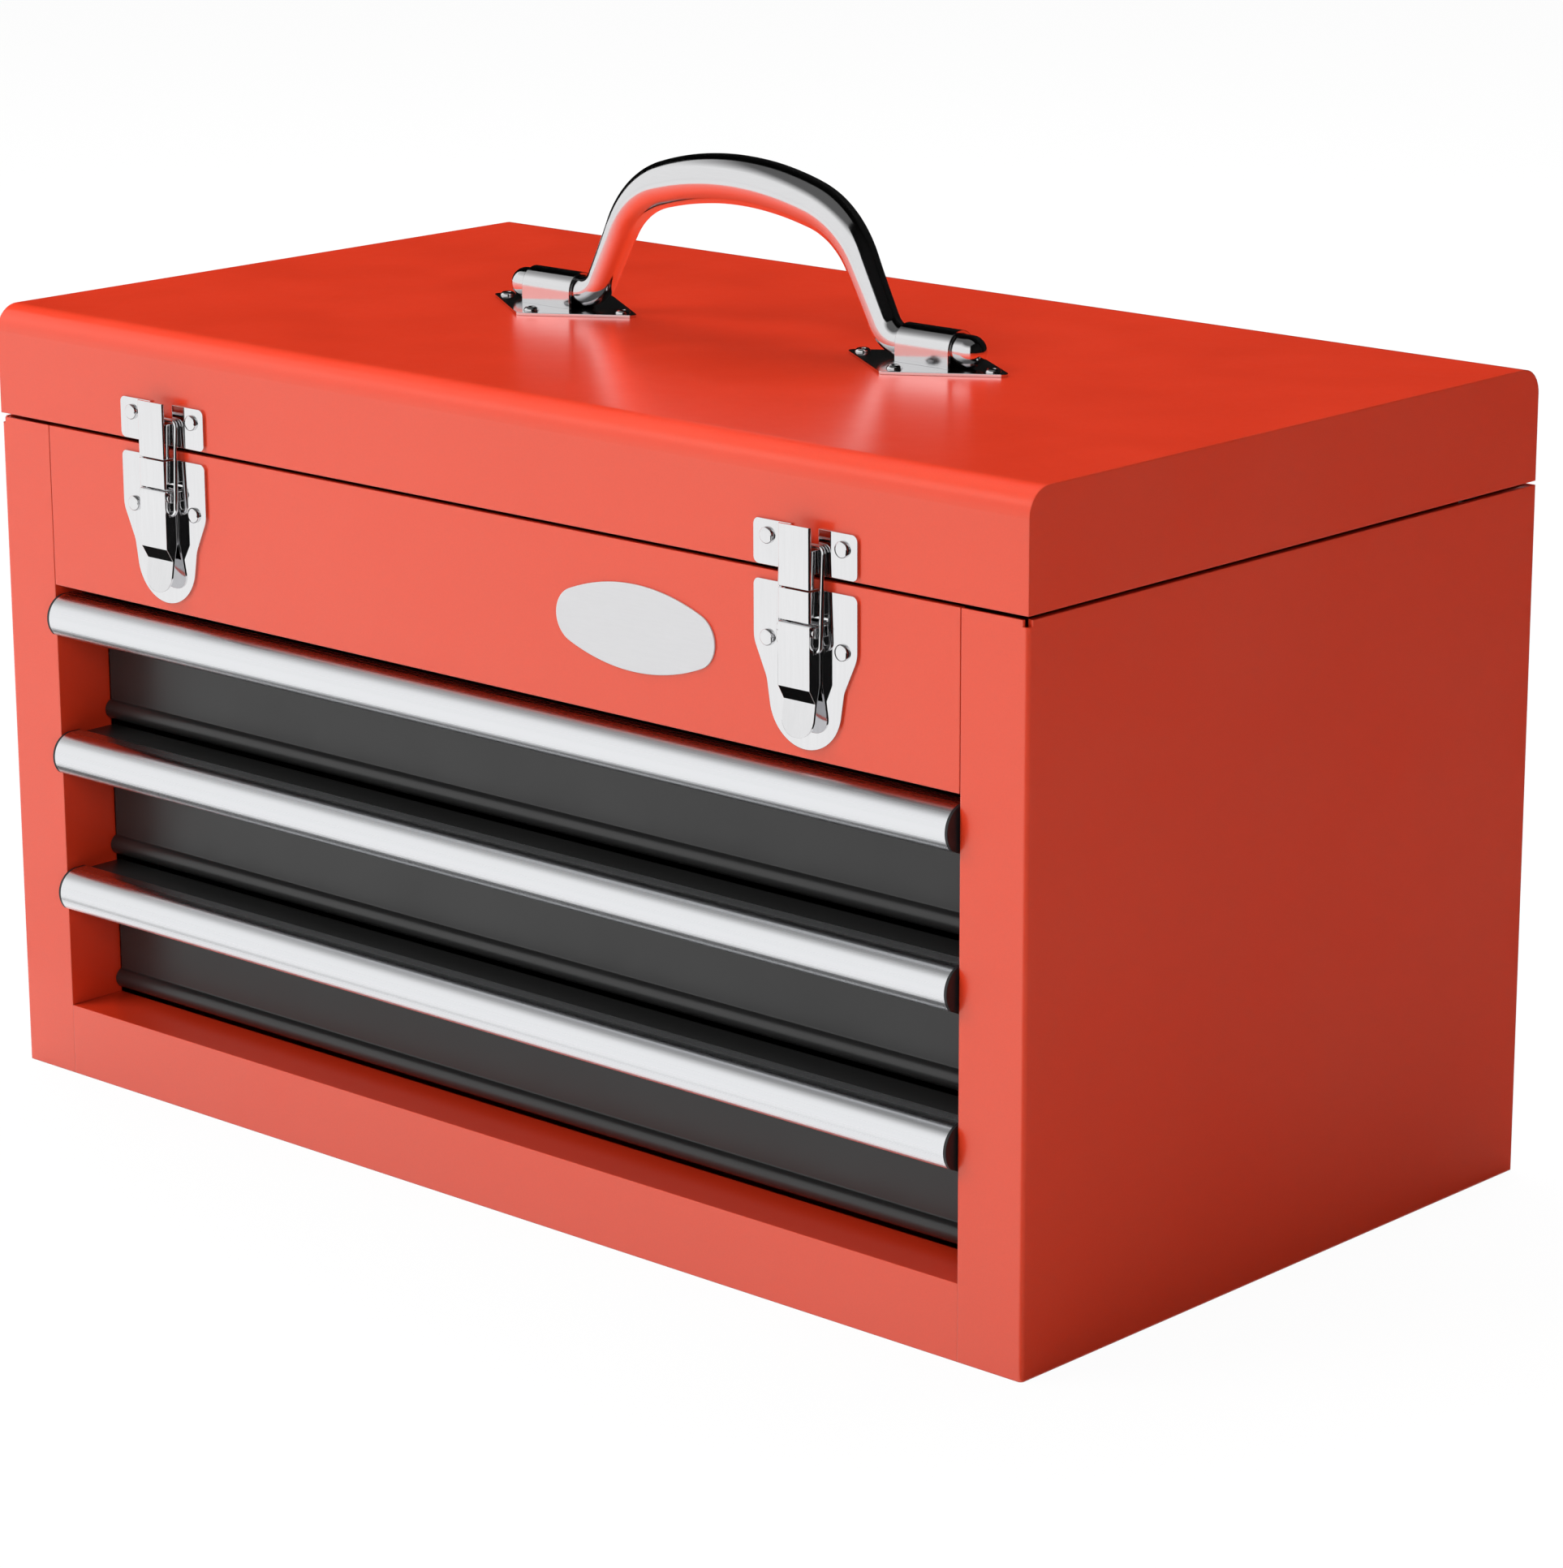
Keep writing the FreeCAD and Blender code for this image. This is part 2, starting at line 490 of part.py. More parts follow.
def lever(name, turn):
    """Channel-section lever, drawn about its pivot."""
    arm = new_body(name)
    out = "(pivot_out - hump_depth)"
    inside = f"({out} + latch_sheet)"
    neck = "(pivot_out - neck_out)"
    tab = "(pivot_out - tab_out)"
    rear_edge = "(pivot_out - latch_sheet - 2 * run_gap)"
    pad(arm, "YZ", f"-{hump_half}", hump_half, [[
        (out, "lever_top"), (out, "-lever_flat"), (neck, "-neck_drop"), (tab, "-lever_length"),
        (f"{tab} + latch_sheet", "-lever_length"), (f"{neck} + latch_sheet", "-neck_drop"),
        (rear_edge, "-lever_flat + lever_bend"), (rear_edge, "-lever_eye"),
        ("lever_eye", "0"), ("0", "lever_eye", "lever_eye", 1), ("0", "lever_top")]])
    round_edges(arm, "lever_bend", {"y": out, "z": "lever_top"})
    cut(arm, "YZ", f"-{wall_half}", wall_half, [[
        (inside, "lever_top + cut_over"), (inside, "-lever_flat"), (f"{neck} + latch_sheet", "-neck_drop"),
        ("pivot_out + cut_over", "-neck_drop"), ("pivot_out + cut_over", "lever_top + cut_over")]])
    cut(arm, "YZ", f"-{hump_half} - cut_over", f"{hump_half} + cut_over", [
        square("pivot_out - bar_out", "-crank", "wire_radius + 2 * fit_gap")],
        [("0", "0", "pin_radius + fit_gap")])
    corners = []
    for hand in ("", "-"):
        corners.append([
            (f"{hand}({hump_half} + cut_over)", "-lever_length + tab_radius"),
            (f"{hand}{hump_half}", "-lever_length + tab_radius"),
            (f"{hand}({hump_half} - tab_radius)", "-lever_length", "tab_radius", 1 if hand else -1),
            (f"{hand}({hump_half} - tab_radius)", "-lever_length - cut_over"),
            (f"{hand}({hump_half} + cut_over)", "-lever_length - cut_over")])
    cut(arm, "XZ", f"{tab} - cut_over", f"{neck} + cut_over", corners)
    place_at(arm, f"{turn} * latch_offset", pivot_y, pivot_up)
    return arm


bar_y = f"({front} - bar_out)"
bar_up = f"({pivot_up} - crank)"


def bail(name, turn):
    """Closed wire loop, drawn about its lower bar and leaned on the hook."""
    loop = new_body(name)
    spine = draw(loop, "XZ", "0", [box("-bail_half", "bail_half", "0", "bail_length")])
    section = draw(loop, "XY", "bail_length / 2", [rounded("bail_half", "0", "wire_radius")])
    wire = loop.newObject("PartDesign::AdditivePipe", name + "_pipe")
    wire.Profile = section
    wire.Spine = spine
    wire.Transition = "Right corner"
    lean = math.degrees(math.asin(value("(bar_out - hook_out) / bail_length")))
    loop.Placement = FreeCAD.Placement(FreeCAD.Vector(), FreeCAD.Rotation(FreeCAD.Vector(1, 0, 0), -lean))
    place_at(loop, f"{turn} * latch_offset", bar_y, bar_up)
    return loop


def bushing(name, turn):
    tube = new_body(name)
    reach = f"({wall_half} - run_gap)"
    pad(tube, "YZ", f"-{reach}", reach, [square("0", "0", "bushing_half")],
        [("0", "0", "wire_radius + fit_gap")])
    place_at(tube, f"{turn} * latch_offset", bar_y, bar_up)
    return tube


for word, turn in (("left", -1), ("right", 1)):
    latch_base("latch_base_" + word, turn)
    lever("lever_" + word, turn)
    bail("bail_" + word, turn)
    bushing("bail_bushing_" + word, turn)

pivot = new_body("pivot", node=False)
pad(pivot, "YZ", f"-{ear_outside}", ear_outside, [rounded("0", "0", "pin_radius")])
copies("latch_pins", pivot, [(f"{turn} * latch_offset", pivot_y, pivot_up) for turn in (-1, 1)])


def rivet(name, plane, grip):
    """Rivet with a round head outside, a square shank through the sheets and a tail inside.
    The head stands on the origin plane and points out."""
    body = new_body(name, node=False)
    if plane == "XY":
        head = ("0", "rivet_head")
        shank, tail = (f"-({grip})", "0"), (f"-({grip}) - rivet_tail", f"-({grip})")
    else:
        head = ("-rivet_head", "0")
        shank, tail = ("0", grip), (grip, f"{grip} + rivet_tail")
    pad(body, plane, *head, [rounded("0", "0", "rivet_head_radius")])
    pad(body, plane, *shank, [square("0", "0", "rivet_half")])
    pad(body, plane, *tail, [square("0", "0", "rivet_tail_half")])
    return body


plate_rivet = rivet("plate_rivet", "XZ", "latch_sheet + sheet")
copies("latch_rivets", plate_rivet, [
    (f"{turn} * latch_offset + {hand} * rivet_spacing / 2", out_sheet, f"{plate_top_up} - rivet_drop")
    for turn in (-1, 1) for hand in (-1, 1)])

# Badge plate: bare oval of four arcs
long_half = "(badge_length / 2)"
short_half = "(badge_width / 2)"
diagonal = f"sqrt({long_half} * {long_half} + {short_half} * {short_half})"
end_radius = f"(({diagonal} - {long_half} + {short_half}) * {diagonal} / badge_length)"
side_radius = f"(({diagonal} + {long_half} - {short_half}) * {diagonal} / badge_width)"
radius_gap = f"({side_radius} - {end_radius})"
join_x = f"({long_half} - {end_radius} + {end_radius} * ({long_half} - {end_radius}) / {radius_gap})"
join_z = f"({end_radius} * ({side_radius} - {short_half}) / {radius_gap})"
badge = new_body("badge_plate")
pad(badge, "XZ", f"{front} - badge_sheet", front, [[
    (f"badge_offset + {join_x}", f"body_height - badge_drop + {join_z}", end_radius, 1),
    (f"badge_offset - {join_x}", f"body_height - badge_drop + {join_z}", side_radius, 1),
    (f"badge_offset - {join_x}", f"body_height - badge_drop - {join_z}", end_radius, 1),
    (f"badge_offset + {join_x}", f"body_height - badge_drop - {join_z}", side_radius, 1)]])

# Lid: pressed shell with rounded front and rear edges, hems and rivet holes
lid = new_body("lid_shell")
pad(lid, "YZ", "-width / 2", "width / 2", [[
    (front, lid_bottom), (back, lid_bottom), (back, f"{lid_top} - lid_radius"),
    (f"{back} - lid_radius", lid_top, "lid_radius", 1), (f"{front} + lid_radius", lid_top),
    (front, f"{lid_top} - lid_radius", "lid_radius", 1)]])
cut(lid, "YZ", "-width / 2 + sheet", "width / 2 - sheet", [[
    (f"{front} + sheet", f"{lid_bottom} - cut_over"), (f"{back} - sheet", f"{lid_bottom} - cut_over"),
    (f"{back} - sheet", f"{lid_top} - lid_radius"),
    (f"{back} - lid_radius", f"{lid_top} - sheet", "lid_radius - sheet", 1),
    (f"{front} + lid_radius", f"{lid_top} - sheet"),
    (f"{front} + sheet", f"{lid_top} - lid_radius", "lid_radius - sheet", 1)]])
hem_rows = ((f"{front} + sheet / 2", f"{front} + 2 * sheet"), (f"{back} - 2 * sheet", f"{back} - sheet / 2"))
for low, high in hem_rows:
    pad(lid, "XY", lid_bottom, f"{lid_bottom} + lid_hem", [box(f"-{inner_side}", inner_side, low, high)])
for low, high in (("-width / 2 + sheet / 2", f"-{hem_side}"), (hem_side, "width / 2 - sheet / 2")):
    pad(lid, "XY", lid_bottom, f"{lid_bottom} + lid_hem", [
        box(low, high, f"{front} + sheet", f"{back} - sheet")])
keeper_low = f"({lid_bottom} + keeper_rise)"
keeper_rivet_up = f"({lid_bottom} + keeper_rivet_rise)"
cut(lid, "XZ", f"{front} - cut_over", f"{front} + sheet + cut_over", [
    square(f"{turn} * latch_offset + {hand} * rivet_spacing / 2", keeper_rivet_up, rivet_hole)
    for turn in (-1, 1) for hand in (-1, 1)])
bracket_spots = [(f"{turn} * bracket_offset + {a} * bracket_rivet_long", f"{b} * bracket_rivet_short")
                 for turn in (-1, 1) for a, b in ((-1, 0), (1, 0), (0, -1), (0, 1))]
cut(lid, "XY", f"{lid_top} - sheet - cut_over", f"{lid_top} + cut_over", [
    square(x, y, rivet_hole) for x, y in bracket_spots])


def keeper(name, turn):
    """Riveted plate with a hat-section hook whose walls are cut away above the bail's bar."""
    plate = new_body(name)
    top = f"({keeper_low} + keeper_height)"
    hump_low = f"({plate_top_up} + keeper_hump_gap)"
    hook = f"({bar_up} + bail_length - wire_radius - run_gap)"
    pad(plate, "XZ", out_sheet, front, [box("-plate_width / 2", "plate_width / 2", keeper_low, top)])
    round_edges(plate, "plate_corner", *[{"x": x, "z": z} for x in ("plate_width / 2", "-plate_width / 2")
                                         for z in (keeper_low, top)])
    cut(plate, "XZ", f"{front} - cut_over", f"{front} + cut_over", [
        box(f"-{wall_half}", wall_half, f"{keeper_low} - cut_over", f"{top} + cut_over")])
    pad(plate, "XY", hump_low, hook, [[
        (hump_half, f"{front} - latch_sheet"), (wall_half, f"{front} - latch_sheet"),
        (wall_half, hump_inside), (f"-{wall_half}", hump_inside),
        (f"-{wall_half}", f"{front} - latch_sheet"), (f"-{hump_half}", f"{front} - latch_sheet"),
        (f"-{hump_half}", hump_front), (hump_half, hump_front)]])
    for low, high in ((wall_half, hump_half), (f"-{hump_half}", f"-{wall_half}")):
        pad(plate, "XY", keeper_low, hook, [box(low, high, f"{front} - latch_sheet", front)])
    pad(plate, "XY", hook, f"{keeper_low} + keeper_strip", [
        box(f"-{hump_half}", hump_half, hump_front, hump_inside)])
    round_edges(plate, "latch_round", {"x": hump_half, "y": hump_front},
                {"x": f"-{hump_half}", "y": hump_front})
    cut(plate, "XZ", f"{out_sheet} - cut_over", f"{front} + cut_over", [
        square(f"{hand} * rivet_spacing / 2", keeper_rivet_up, rivet_hole) for hand in (-1, 1)])
    place_at(plate, f"{turn} * latch_offset")
    return plate


keeper("keeper_left", -1)
keeper("keeper_right", 1)
copies("keeper_rivets", plate_rivet, [
    (f"{turn} * latch_offset + {hand} * rivet_spacing / 2", out_sheet, keeper_rivet_up)
    for turn in (-1, 1) for hand in (-1, 1)])
hinge_leaf("hinge_leaf_lid", 1, 1, 3)

# Handle brackets: diamond plate with a strap over the handle's foot
axis_up = f"({lid_top} + bracket_sheet + tube_radius + saddle_gap)"
bracket_top = f"({lid_top} + bracket_sheet)"
strap_inside = "(tube_radius + saddle_gap)"
strap_outside = "(tube_radius + saddle_gap + bracket_sheet)"
bracket = new_body("handle_bracket_right")
pad(bracket, "XY", lid_top, bracket_top, [[
    ("bracket_offset + bracket_length / 2", "0"), ("bracket_offset", "bracket_width / 2"),
    ("bracket_offset - bracket_length / 2", "0"), ("bracket_offset", "-bracket_width / 2")]])
round_edges(bracket, "bracket_tip", *[{"x": x, "y": y} for x, y in (
    ("bracket_offset + bracket_length / 2", "0"), ("bracket_offset - bracket_length / 2", "0"),
    ("bracket_offset", "bracket_width / 2"), ("bracket_offset", "-bracket_width / 2"))])
pad(bracket, "YZ", "saddle_start", "saddle_start + saddle_length", [[
    (f"-{strap_outside}", bracket_top), (f"-{strap_inside}", bracket_top), (f"-{strap_inside}", axis_up),
    ("0", f"{axis_up} + {strap_inside}", strap_inside, -1), (strap_inside, axis_up, strap_inside, -1),
    (strap_inside, bracket_top), (strap_outside, bracket_top), (strap_outside, axis_up),
    ("0", f"{axis_up} + {strap_outside}", strap_outside, 1), (f"-{strap_outside}", axis_up, strap_outside, 1)]])
cut(bracket, "XY", f"{lid_top} - cut_over", f"{bracket_top} + cut_over", [
    square(f"bracket_offset + {a} * bracket_rivet_long", f"{b} * bracket_rivet_short", rivet_hole)
    for a, b in ((-1, 0), (1, 0), (0, -1), (0, 1))])
mirrored("handle_bracket_left", bracket)
top_rivet = rivet("top_rivet", "XY", "bracket_sheet + sheet")
copies("bracket_rivets", top_rivet, [(x, y, bracket_top) for x, y in bracket_spots])

# Carrying handle: a tube whose grip swells, lofted along the arch, with turned feet
handle = new_body("carry_handle")


def handle_stations():
    """Places along the right half of the arch: x, z, slope in degrees and share of the swell."""
    leg = math.radians(value("leg_angle"))
    crown = value("crown_radius")
    half_crown = value("crown_half")
    rise = value("handle_rise")
    turn = math.asin(half_crown / crown)
    drop = crown - math.sqrt(crown ** 2 - half_crown ** 2)
    shoulder = (half_crown, rise - drop)
    foot = value("foot_radius")
    reach = foot * math.tan(leg / 2)
    spread = value("foot_spread")
    knee = (spread - reach * math.cos(leg), reach * math.sin(leg))
    slope = math.tan(turn)
    run = (spread - shoulder[1] / math.tan(leg) - shoulder[0]) / (1 - slope / math.tan(leg))
    meet = (shoulder[0] + run, shoulder[1] - slope * run)
    side = math.hypot(meet[0] - shoulder[0], meet[1] - shoulder[1])
    bend = side / math.tan((leg - turn) / 2)
    stations = []
    for share in crown_shares:
        angle = turn * share
        stations.append((crown * math.sin(angle), rise - crown * (1 - math.cos(angle)), angle))
    centre = (shoulder[0] - bend * math.sin(turn), shoulder[1] - bend * math.cos(turn))
    for share in shoulder_shares:
        angle = turn + (leg - turn) * share
        stations.append((centre[0] + bend * math.sin(angle), centre[1] + bend * math.cos(angle), angle))
    low = stations[-1]
    stations.append(((low[0] + knee[0]) / 2, (low[1] + knee[1]) / 2, leg))
    hub = (knee[0] + foot * math.sin(leg), knee[1] + foot * math.cos(leg))
    for share in foot_shares:
        angle = leg * share
        stations.append((hub[0] - foot * math.sin(angle), hub[1] - foot * math.cos(angle), angle))
    return stations


crown_shares = (0, 0.5, 1)
shoulder_shares = (0.33, 0.67, 1)
foot_shares = (1, 0.66, 0.33, 0)
swell_shares = (1, 0.98, 0.86, 0.66, 0.4, 0.18, 0.05, 0, 0, 0, 0)
stations = handle_stations()
sections = []
for number, ((x, z, slope), swell) in enumerate(zip(stations, swell_shares), start=1):
    section = handle.newObject("Sketcher::SketchObject", f"handle_section_{number}")
    origin_plane = next(item for item in handle.Origin.OriginFeatures if item.Role == "YZ_Plane")
    section.AttachmentSupport = (origin_plane, [""])
    section.MapMode = "FlatFace"
    turn = FreeCAD.Rotation(FreeCAD.Vector(1, 0, 0), math.degrees(slope))
    section.AttachmentOffset = FreeCAD.Placement(FreeCAD.Vector(0, z, x), turn)
    tall = f"(tube_radius + {swell} * (grip_radius - tube_radius))"
    wide = f"(tube_radius + {swell} * (grip_side_radius - tube_radius))"
    major = FreeCAD.Vector(0, value(tall), 0)
    minor = FreeCAD.Vector(-value(wide), 0, 0)
    if value(tall) - value(wide) < value(tall) * TOLERANCE_SHARE:
        section.addGeometry(Part.Circle(FreeCAD.Vector(), FreeCAD.Vector(0, 0, 1), value(tall)), False)
        bind(section, Sketcher.Constraint("Radius", 0, value(tall)), tall)
        section.addConstraint(Sketcher.Constraint("Coincident", 0, 3, -1, 1))
    else:
        section.addGeometry(Part.Ellipse(major, minor, FreeCAD.Vector()), False)
    sections.append(section)
loft = handle.newObject("PartDesign::AdditiveLoft", "handle_loft")
loft.Profile = sections[0]
loft.Sections = sections[1:]
loft.Ruled = True
foot_start = "foot_spread + foot_radius * tan(leg_angle / 2 * 1 deg)"
foot_sketch = draw(handle, "XZ", "0", [[
    (foot_start, "0"), (foot_start, "tube_radius"), ("foot_end - foot_edge", "tube_radius"),
    ("foot_end", "tube_radius - foot_edge"), ("foot_end", "0")]])
foot = handle.newObject("PartDesign::Revolution", "handle_foot")
foot.Profile = foot_sketch
foot.ReferenceAxis = (next(item for item in handle.Origin.OriginFeatures if item.Role == "X_Axis"), [""])
foot.Angle = 360
doc.recompute()
other_half = handle.newObject("PartDesign::Mirrored", "handle_mirror")
other_half.Originals = [loft, foot]
other_half.MirrorPlane = (next(item for item in handle.Origin.OriginFeatures if item.Role == "YZ_Plane"), [""])
handle.Tip = other_half
place_at(handle, "0", "0", axis_up)

# Lid stays: slotted arms on rivets in the lid, over studs on the side hems
stay_high = math.degrees(math.asin(value("stay_rise / stay_radius")))
stay_low = math.degrees(math.asin(value("stay_drop / stay_radius")))
pivot_back = f"({hinge_out} - sqrt(stay_radius * stay_radius - stay_rise * stay_rise))"
stud_back = f"({hinge_out} - sqrt(stay_radius * stay_radius - stay_drop * stay_drop))"
stay_start = "(asin(stay_rise / stay_radius) + asin(stay_drop / stay_radius))"
chord_short = f"(2 * stay_radius * sin({stay_start} / 2))"
chord_long = f"(2 * stay_radius * sin(({stay_start} + lid_swing * 1 deg) / 2))"
stay_face = "(width / 2 - stay_side)"


def stay_arm(name, turn):
    """Slotted arm drawn about its rivet, hanging down."""
    arm = new_body(name)
    end = f"({chord_long} + stay_end)"
    slot = "(stud_radius + 2 * fit_gap)"
    low, high = f"{stay_face} - stay_sheet", stay_face
    if turn < 0:
        low, high = f"-{stay_face}", f"-{stay_face} + stay_sheet"
    pad(arm, "YZ", low, high, [[
        ("-stay_half", "0", "stay_half", 1), ("-stay_half", f"-{end} + stay_half"),
        ("0", f"-{end}", "stay_half", 1), ("stay_half", f"-{end} + stay_half", "stay_half", 1),
        ("stay_half", "0"), ("0", "stay_half", "stay_half", 1)]])
    cut(arm, "YZ", f"({low}) - cut_over", f"({high}) + cut_over", [
        box(f"-{slot}", slot, f"-{chord_long} - {slot}", f"-{chord_short} + {slot}")],
        [("0", "0", "stud_radius + fit_gap")])
    lean = (stay_high - stay_low) / 2
    arm.Placement = FreeCAD.Placement(FreeCAD.Vector(), FreeCAD.Rotation(FreeCAD.Vector(1, 0, 0), -lean))
    place_at(arm, "0", pivot_back, f"{hinge_up} + stay_rise")
    return arm


stay_arm("stay_arm_left", -1)
stay_arm("stay_arm_right", 1)
head_face = f"({stay_face} - stay_sheet - run_gap)"
stud = new_body("stud", node=False)
pad(stud, "YZ", head_face, hem_side, [rounded(stud_back, f"({hinge_up} - stay_drop)", "stud_radius")])
pad(stud, "YZ", f"{head_face} - stud_head", head_face, [
    square(stud_back, f"({hinge_up} - stay_drop)", "stud_head_half")])
pair("stay_studs", stud)
stay_rivet = new_body("stay_rivet", node=False)
pad(stay_rivet, "YZ", head_face, inner_side, [
    rounded(pivot_back, f"({hinge_up} + stay_rise)", "stud_radius")])
pad(stay_rivet, "YZ", f"{head_face} - stud_head", head_face, [
    square(pivot_back, f"({hinge_up} + stay_rise)", "stud_head_half")])
pair("stay_pivots", stay_rivet)

# Drawers: pan, front with bead and top flange, pull with end caps, inner and middle slide members
front_half = f"({opening_half} - drawer_side_gap)"
face = f"({front} + front_recess)"
pull_y = f"({front} + pull_back)"
pull_end = f"({front} + pull_back + pull_rear)"
pull_axis = "(drawer_height - pull_radius)"
facet_y_share = 0.12
facet_z_share = 0.97
lip_share = 0.2
facet_start = (f"{pull_y} - pull_radius * cos(facet_angle * 1 deg)",
               f"{pull_axis} - pull_radius * sin(facet_angle * 1 deg)")
facet_end = (f"{pull_y} - {facet_y_share} * pull_radius", f"{pull_axis} - {facet_z_share} * pull_radius")
middle_half = "(channel_height / 2 - slide_sheet - slide_gap)"
runner_half = f"({middle_half} - slide_sheet - slide_gap)"
middle_web = f"({post_face} - slide_sheet - slide_gap)"
middle_tip = f"({post_face} - channel_depth + channel_lip + slide_gap)"
slide_middle = f"(({slide_front} + {slide_back}) / 2)"

for number, low in enumerate(drawer_low, start=1):
    pan = new_body(f"drawer_pan_{number}")
    pan_front = f"{face} + sheet"
    pad(pan, "XY", "pan_rise", "pan_rise + pan_height", [
        box(f"-{pan_half}", pan_half, pan_front, f"{pan_front} + pan_depth")])
    cut(pan, "XY", "pan_rise + sheet", "pan_rise + pan_height + cut_over", [
        box(f"-{pan_half} + sheet", f"{pan_half} - sheet",
            f"{pan_front} + sheet", f"{pan_front} + pan_depth - sheet")])
    place_at(pan, "0", "0", low)

    fascia = new_body(f"drawer_front_{number}")
    flange_top = "(drawer_height - pull_wall)"
    pad(fascia, "YZ", f"-{front_half}", front_half, [[
        (face, "bead_height"), (face, "0", "bead_radius", 1), (pan_front, "0"), (pan_front, flange_top),
        (f"{front} + flange_reach", flange_top), (f"{front} + flange_reach", f"{flange_top} - sheet"),
        (face, f"{flange_top} - sheet")]])
    notch = f"({front_half} - cap_thickness - fit_gap)"
    cut(fascia, "XY", f"{flange_top} - sheet - cut_over", f"{flange_top} + cut_over", [
        box(low_x, high_x, f"{front} + flange_reach - cut_over", f"{pull_end} + fit_gap")
        for low_x, high_x in ((notch, f"{front_half} + cut_over"), (f"-{front_half} - cut_over", f"-{notch}"))])
    place_at(fascia, "0", "0", low)

    pull = new_body(f"drawer_pull_{number}")
    pull_half = f"({front_half} - cap_thickness)"
    pad(pull, "YZ", f"-{pull_half}", pull_half, [[
        (pull_end, "drawer_height"), (pull_y, "drawer_height"),
        (f"{pull_y} - pull_radius", pull_axis, "pull_radius", 1), (*facet_start, "pull_radius", 1), facet_end,
        (f"{pull_y} + {lip_share} * pull_radius", facet_end[1]),
        (f"{pull_y} + {lip_share} * pull_radius", f"{facet_end[1]} + pull_wall"),
        (facet_end[0], f"{facet_end[1]} + pull_wall"),
        (f"{pull_y} - (pull_radius - pull_wall) * cos(facet_angle * 1 deg)",
         f"{pull_axis} - (pull_radius - pull_wall) * sin(facet_angle * 1 deg)"),
        (f"{pull_y} - pull_radius + pull_wall", pull_axis, "pull_radius - pull_wall", -1),
        (pull_y, "drawer_height - pull_wall", "pull_radius - pull_wall", -1),
        (pull_end, "drawer_height - pull_wall")]])
    place_at(pull, "0", "0", low)

    cap = new_body(f"cap_{number}", node=False)
    pad(cap, "YZ", pull_half, front_half, [[
        (pull_end, "drawer_height"), (pull_y, "drawer_height"),
        (f"{pull_y} - pull_radius", pull_axis, "pull_radius", 1), (*facet_start, "pull_radius", 1), facet_end,
        (pull_end, facet_end[1])]])
    place_at(cap, "0", "0", low)
    pair(f"pull_caps_{number}", cap)

    runner = new_body(f"runner_{number}", node=False)
    runner_tip = f"({pan_half} + runner_depth)"
    pad(runner, "XZ", slide_front, slide_back, [[
        (pan_half, f"slide_rise - {runner_half}"), (runner_tip, f"slide_rise - {runner_half}"),
        (runner_tip, f"slide_rise - {runner_half} + slide_sheet"),
        (f"{pan_half} + slide_sheet", f"slide_rise - {runner_half} + slide_sheet"),
        (f"{pan_half} + slide_sheet", f"slide_rise + {runner_half} - slide_sheet"),
        (runner_tip, f"slide_rise + {runner_half} - slide_sheet"),
        (runner_tip, f"slide_rise + {runner_half}"), (pan_half, f"slide_rise + {runner_half}")]])
    place_at(runner, "0", "0", low)
    pair(f"slide_runners_{number}", runner)

    middle = new_body(f"middle_{number}", node=False)
    pad(middle, "XZ", f"{slide_middle} - middle_length / 2", f"{slide_middle} + middle_length / 2", [[
        (middle_web, f"slide_rise - {middle_half}"), (middle_web, f"slide_rise + {middle_half}"),
        (middle_tip, f"slide_rise + {middle_half}"), (middle_tip, f"slide_rise + {middle_half} - slide_sheet"),
        (f"{middle_web} - slide_sheet", f"slide_rise + {middle_half} - slide_sheet"),
        (f"{middle_web} - slide_sheet", f"slide_rise - {middle_half} + slide_sheet"),
        (middle_tip, f"slide_rise - {middle_half} + slide_sheet"),
        (middle_tip, f"slide_rise - {middle_half}")]])
    place_at(middle, "0", "0", low)
    pair(f"slide_middles_{number}", middle)

doc.recompute()
for item in doc.Objects:
    if "Invalid" in item.State or "Error" in item.State:
        raise RuntimeError(f"{item.Name} is {item.State}")
    if item.TypeId == "PartDesign::Pocket" and item.Shape.Volume >= item.BaseFeature.Shape.Volume:
        raise RuntimeError(f"{item.Name} cuts nothing")
os.makedirs("parts", exist_ok=True)
for node in nodes:
    shape = node.Shape
    if shape.isNull() or not shape.isValid() or shape.Volume <= 0:
        raise RuntimeError(f"{node.Label} has no sound solid")
    shape.exportStep(f"parts/{node.Label}.step")
print(len(nodes), "nodes written")
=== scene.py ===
import json
import math
import bmesh
import bpy
from mathutils import Matrix, Vector


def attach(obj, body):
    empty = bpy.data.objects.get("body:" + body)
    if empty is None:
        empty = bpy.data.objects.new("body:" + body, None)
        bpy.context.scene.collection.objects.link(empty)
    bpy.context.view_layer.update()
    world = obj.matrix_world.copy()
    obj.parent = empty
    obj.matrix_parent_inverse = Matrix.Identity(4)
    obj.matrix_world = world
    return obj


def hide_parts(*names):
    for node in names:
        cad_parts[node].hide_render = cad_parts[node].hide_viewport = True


# Looks for the portable tool box: paint, chrome, aluminium and the pieces with finer forms than
# the solids have. Forms are written in millimetres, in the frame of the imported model, and turned
# to metres with MM. Lamps, cards and camera are written in metres.

